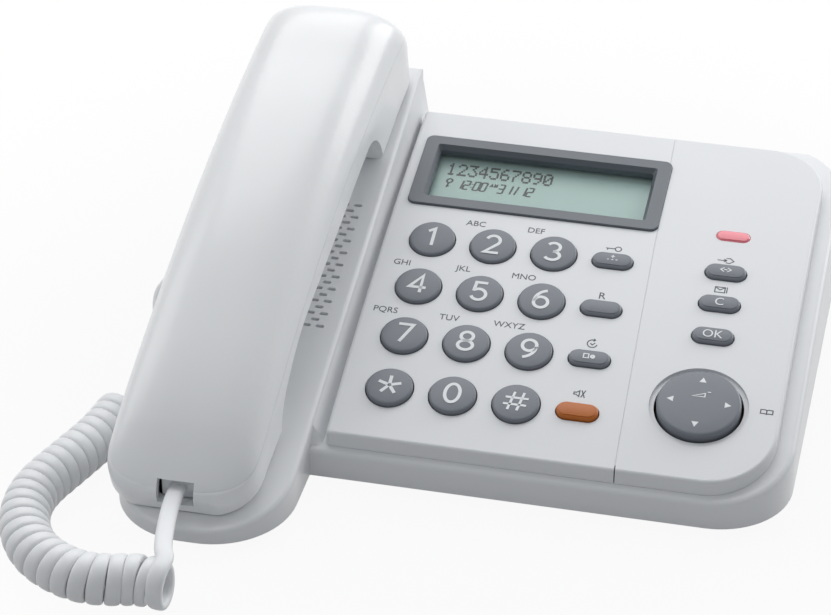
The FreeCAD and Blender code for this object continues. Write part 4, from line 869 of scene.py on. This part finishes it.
# Strip just under the deck in the joint of the two panels, so that it reads as a fine line.
seamSetup = {"frontU": 51.4, "rearU": 47.2, "frontY": -52.5, "rearY": 84.8, "width": 0.31,
             "top": -0.2, "low": -1.2, "startV": -47.5, "endV": 91.0, "steps": 40}


def makeSeam(setup):
    points = []
    faces = []
    steps = setup["steps"]
    for k in range(steps + 1):
        v = setup["startV"] + (setup["endV"] - setup["startV"]) * k / steps
        y = deckPlace(0, v, 0).translation.y / mm
        lean = (setup["rearU"] - setup["frontU"]) * (y - setup["frontY"])
        u = setup["frontU"] + lean / (setup["rearY"] - setup["frontY"])
        for side, lift in ((-1, setup["low"]), (1, setup["low"]), (1, setup["top"]), (-1, setup["top"])):
            points.append(deckPlace(u + side * setup["width"] / 2, v, lift).translation)
    for k in range(steps):
        for corner in range(4):
            here = 4 * k + corner
            beside = 4 * k + (corner + 1) % 4
            faces.append((here, beside, beside + 4, here + 4))
    faces.append((3, 2, 1, 0))
    faces.append(tuple(range(4 * steps, 4 * steps + 4)))
    mesh = meshFrom("panelSeam", points, faces)
    closeOutwards(mesh)
    addPiece("panelSeam", mesh, paint["caseWhite"], "base")


makeSeam(seamSetup)


# Sprung contact wires in the socket of the line jack.
contactSetup = {"x": 4.0, "y": 86.8, "z": 12.0, "pitch": 1.27, "count": 4,
                "size": (0.4, 7.0, 0.4), "tiltDeg": 12.0}


def makeContacts(setup):
    spots = []
    for k in range(setup["count"]):
        x = setup["x"] + (k - (setup["count"] - 1) / 2) * setup["pitch"]
        spots.append(Vector((x, setup["y"], setup["z"])) * mm)
    size = tuple(side * mm for side in setup["size"])
    boxesAt("lineContacts", spots, size, (math.radians(setup["tiltDeg"]), 0, 0), "contactGold", "base")


makeContacts(contactSetup)


# Navigator disc, a little domed, with four arrows and a volume wedge.
navigatorSetup = {
    "u": 71.8, "v": -22.6, "radius": 12.4, "height": 2.4, "sink": 3.4, "dome": 0.5, "shoulder": 1.2,
    "rimPoints": 96, "domeShares": (0.8, 0.6, 0.4, 0.2, 0.04),
    "arrow": 1.5, "arrowReach": 8.4, "arrowShape": ((0.75, 0), (-0.55, -0.7), (-0.55, 0.7)),
    "markStroke": 0.34, "markLift": 0.03,
    "volumeMark": [[(-2.2, 1.9), (1.4, 1.9), (1.4, 3.3), (-2.2, 1.9)], [(2.0, 3.9), (3.0, 3.9)]],
}


def makeNavigator(setup):
    width = 2 * setup["radius"]
    mesh = capMesh("navigatorDisc", width, width, setup)
    placeMesh(mesh, deckPlace(setup["u"], setup["v"], 0))
    closeOutwards(mesh)
    smoothByAngle(mesh, 50)
    disc = addPiece("navigatorDisc", mesh, paint["keyGrey"], "navigator")
    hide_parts("navigator_disc")
    points = []
    faces = []
    lift = setup["height"] + setup["markLift"]
    size = setup["arrow"]
    for k in range(4):
        spin = Matrix.Rotation(math.radians(90 * k), 2)
        base = len(points)
        for x, y in setup["arrowShape"]:
            spot = spin @ Vector((setup["arrowReach"] + size * x, size * y))
            share = spot.length / setup["radius"]
            points.append(Vector((spot.x, spot.y, lift - setup["dome"] * share ** 2)) * mm)
        faces.append((base, base + 2, base + 1))
    marks = meshFrom("navigatorMarks", points, faces)
    placeMesh(marks, deckPlace(setup["u"], setup["v"], 0))
    addPiece("navigatorMarks", marks, paint["printWhite"], "navigator")
    wedge = strokeMesh("volumeMark", setup["volumeMark"], setup["markStroke"])
    placeMesh(wedge, deckPlace(setup["u"], setup["v"], lift))
    addPiece("volumeMark", wedge, paint["printWhite"], "navigator")


makeNavigator(navigatorSetup)


# Message lamp lens, a low cap that starts a little under the deck.
lampSetup = {
    "u": 71.8, "v": 47.6, "drop": 0.4, "length": 10.4, "width": 4.4,
    "height": 1.0, "sink": 3.2, "dome": 0.25, "shoulder": 0.9,
    "rimPoints": 64, "domeShares": (0.75, 0.5, 0.25, 0.06),
}


def makeLamp(setup):
    mesh = capMesh("messageLamp", setup["length"], setup["width"], setup)
    placeMesh(mesh, deckPlace(setup["u"], setup["v"], -setup["drop"]))
    closeOutwards(mesh)
    smoothByAngle(mesh, 50)
    lamp = addPiece("messageLamp", mesh, paint["lampPink"], "base")
    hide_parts("message_lamp_lens")


makeLamp(lampSetup)
print("navigator and lamp set")


# Studio: pale floor that fades to white, broad soft lamps and an even world.
studioSetup = {
    "floorSize": 6.0,
    "floorTint": (0.45, 0.455, 0.46),
    "floorWhite": 0.93,
    "floorFade": (0.10, 0.26),
    "worldTint": (0.95, 0.975, 1.0),
    "worldLevel": 0.41,
    "lamps": {
        "overheadLamp": ((-0.35, 0.9, 1.3), (-0.02, 0.0, 0.03), 1.4, 14.0),
        "leftLamp": ((-1.4, 0.1, 0.9), (-0.05, 0.0, 0.04), 0.9, 4.5),
        "rightLamp": ((0.95, 1.2, 0.7), (-0.05, 0.0, 0.04), 1.0, 13.0),
    },
}


def makeFloor(setup):
    reach = setup["floorSize"] / 2
    corners = [(-reach, -reach, 0), (reach, -reach, 0), (reach, reach, 0), (-reach, reach, 0)]
    mesh = meshFrom("studioFloor", corners, [(0, 1, 2, 3)])
    material = bpy.data.materials.new("studioFloor")
    material.use_nodes = True
    tree = material.node_tree
    tree.nodes.clear()
    link = tree.links.new
    output = tree.nodes.new("ShaderNodeOutputMaterial")
    paper = tree.nodes.new("ShaderNodeBsdfDiffuse")
    paper.inputs["Color"].default_value = (*setup["floorTint"], 1)
    glow = tree.nodes.new("ShaderNodeEmission")
    glow.inputs["Color"].default_value = (1, 1, 1, 1)
    rays = tree.nodes.new("ShaderNodeLightPath")
    seen = tree.nodes.new("ShaderNodeMath")
    seen.operation = "MAXIMUM"
    place = tree.nodes.new("ShaderNodeTexCoord")
    away = tree.nodes.new("ShaderNodeVectorMath")
    away.operation = "LENGTH"
    fade = tree.nodes.new("ShaderNodeMapRange")
    fade.interpolation_type = "SMOOTHSTEP"
    fade.inputs["From Min"].default_value = setup["floorFade"][0]
    fade.inputs["From Max"].default_value = setup["floorFade"][1]
    fade.inputs["To Min"].default_value = setup["floorWhite"]
    both = tree.nodes.new("ShaderNodeMath")
    both.operation = "MULTIPLY"
    mix = tree.nodes.new("ShaderNodeMixShader")
    link(place.outputs["Object"], away.inputs[0])
    link(away.outputs["Value"], fade.inputs["Value"])
    link(rays.outputs["Is Camera Ray"], seen.inputs[0])
    link(rays.outputs["Is Glossy Ray"], seen.inputs[1])
    link(seen.outputs["Value"], both.inputs[0])
    link(fade.outputs["Result"], both.inputs[1])
    link(both.outputs["Value"], mix.inputs["Fac"])
    link(paper.outputs["BSDF"], mix.inputs[1])
    link(glow.outputs["Emission"], mix.inputs[2])
    link(mix.outputs["Shader"], output.inputs["Surface"])
    floor = addPiece("studioFloor", mesh, material, None)


def makeWorld(setup):
    world = bpy.data.worlds.new("studioWorld")
    world.use_nodes = True
    tree = world.node_tree
    tree.nodes.clear()
    link = tree.links.new
    output = tree.nodes.new("ShaderNodeOutputWorld")
    light = tree.nodes.new("ShaderNodeBackground")
    light.inputs["Color"].default_value = (*setup["worldTint"], 1)
    light.inputs["Strength"].default_value = setup["worldLevel"]
    seen = tree.nodes.new("ShaderNodeBackground")
    seen.inputs["Color"].default_value = (1, 1, 1, 1)
    rays = tree.nodes.new("ShaderNodeLightPath")
    mix = tree.nodes.new("ShaderNodeMixShader")
    link(rays.outputs["Is Camera Ray"], mix.inputs["Fac"])
    link(light.outputs["Background"], mix.inputs[1])
    link(seen.outputs["Background"], mix.inputs[2])
    link(mix.outputs["Shader"], output.inputs["Surface"])
    scene.world = world


def makeLamps(setup):
    for name, (place, aim, size, power) in setup["lamps"].items():
        data = bpy.data.lights.new(name, "AREA")
        data.shape = "SQUARE"
        data.size = size
        data.energy = power
        lamp = bpy.data.objects.new(name, data)
        lamp.location = place
        lamp.rotation_euler = (Vector(aim) - Vector(place)).to_track_quat("-Z", "Y").to_euler()
        scene.collection.objects.link(lamp)


makeFloor(studioSetup)
makeWorld(studioSetup)
makeLamps(studioSetup)
print("studio lit")
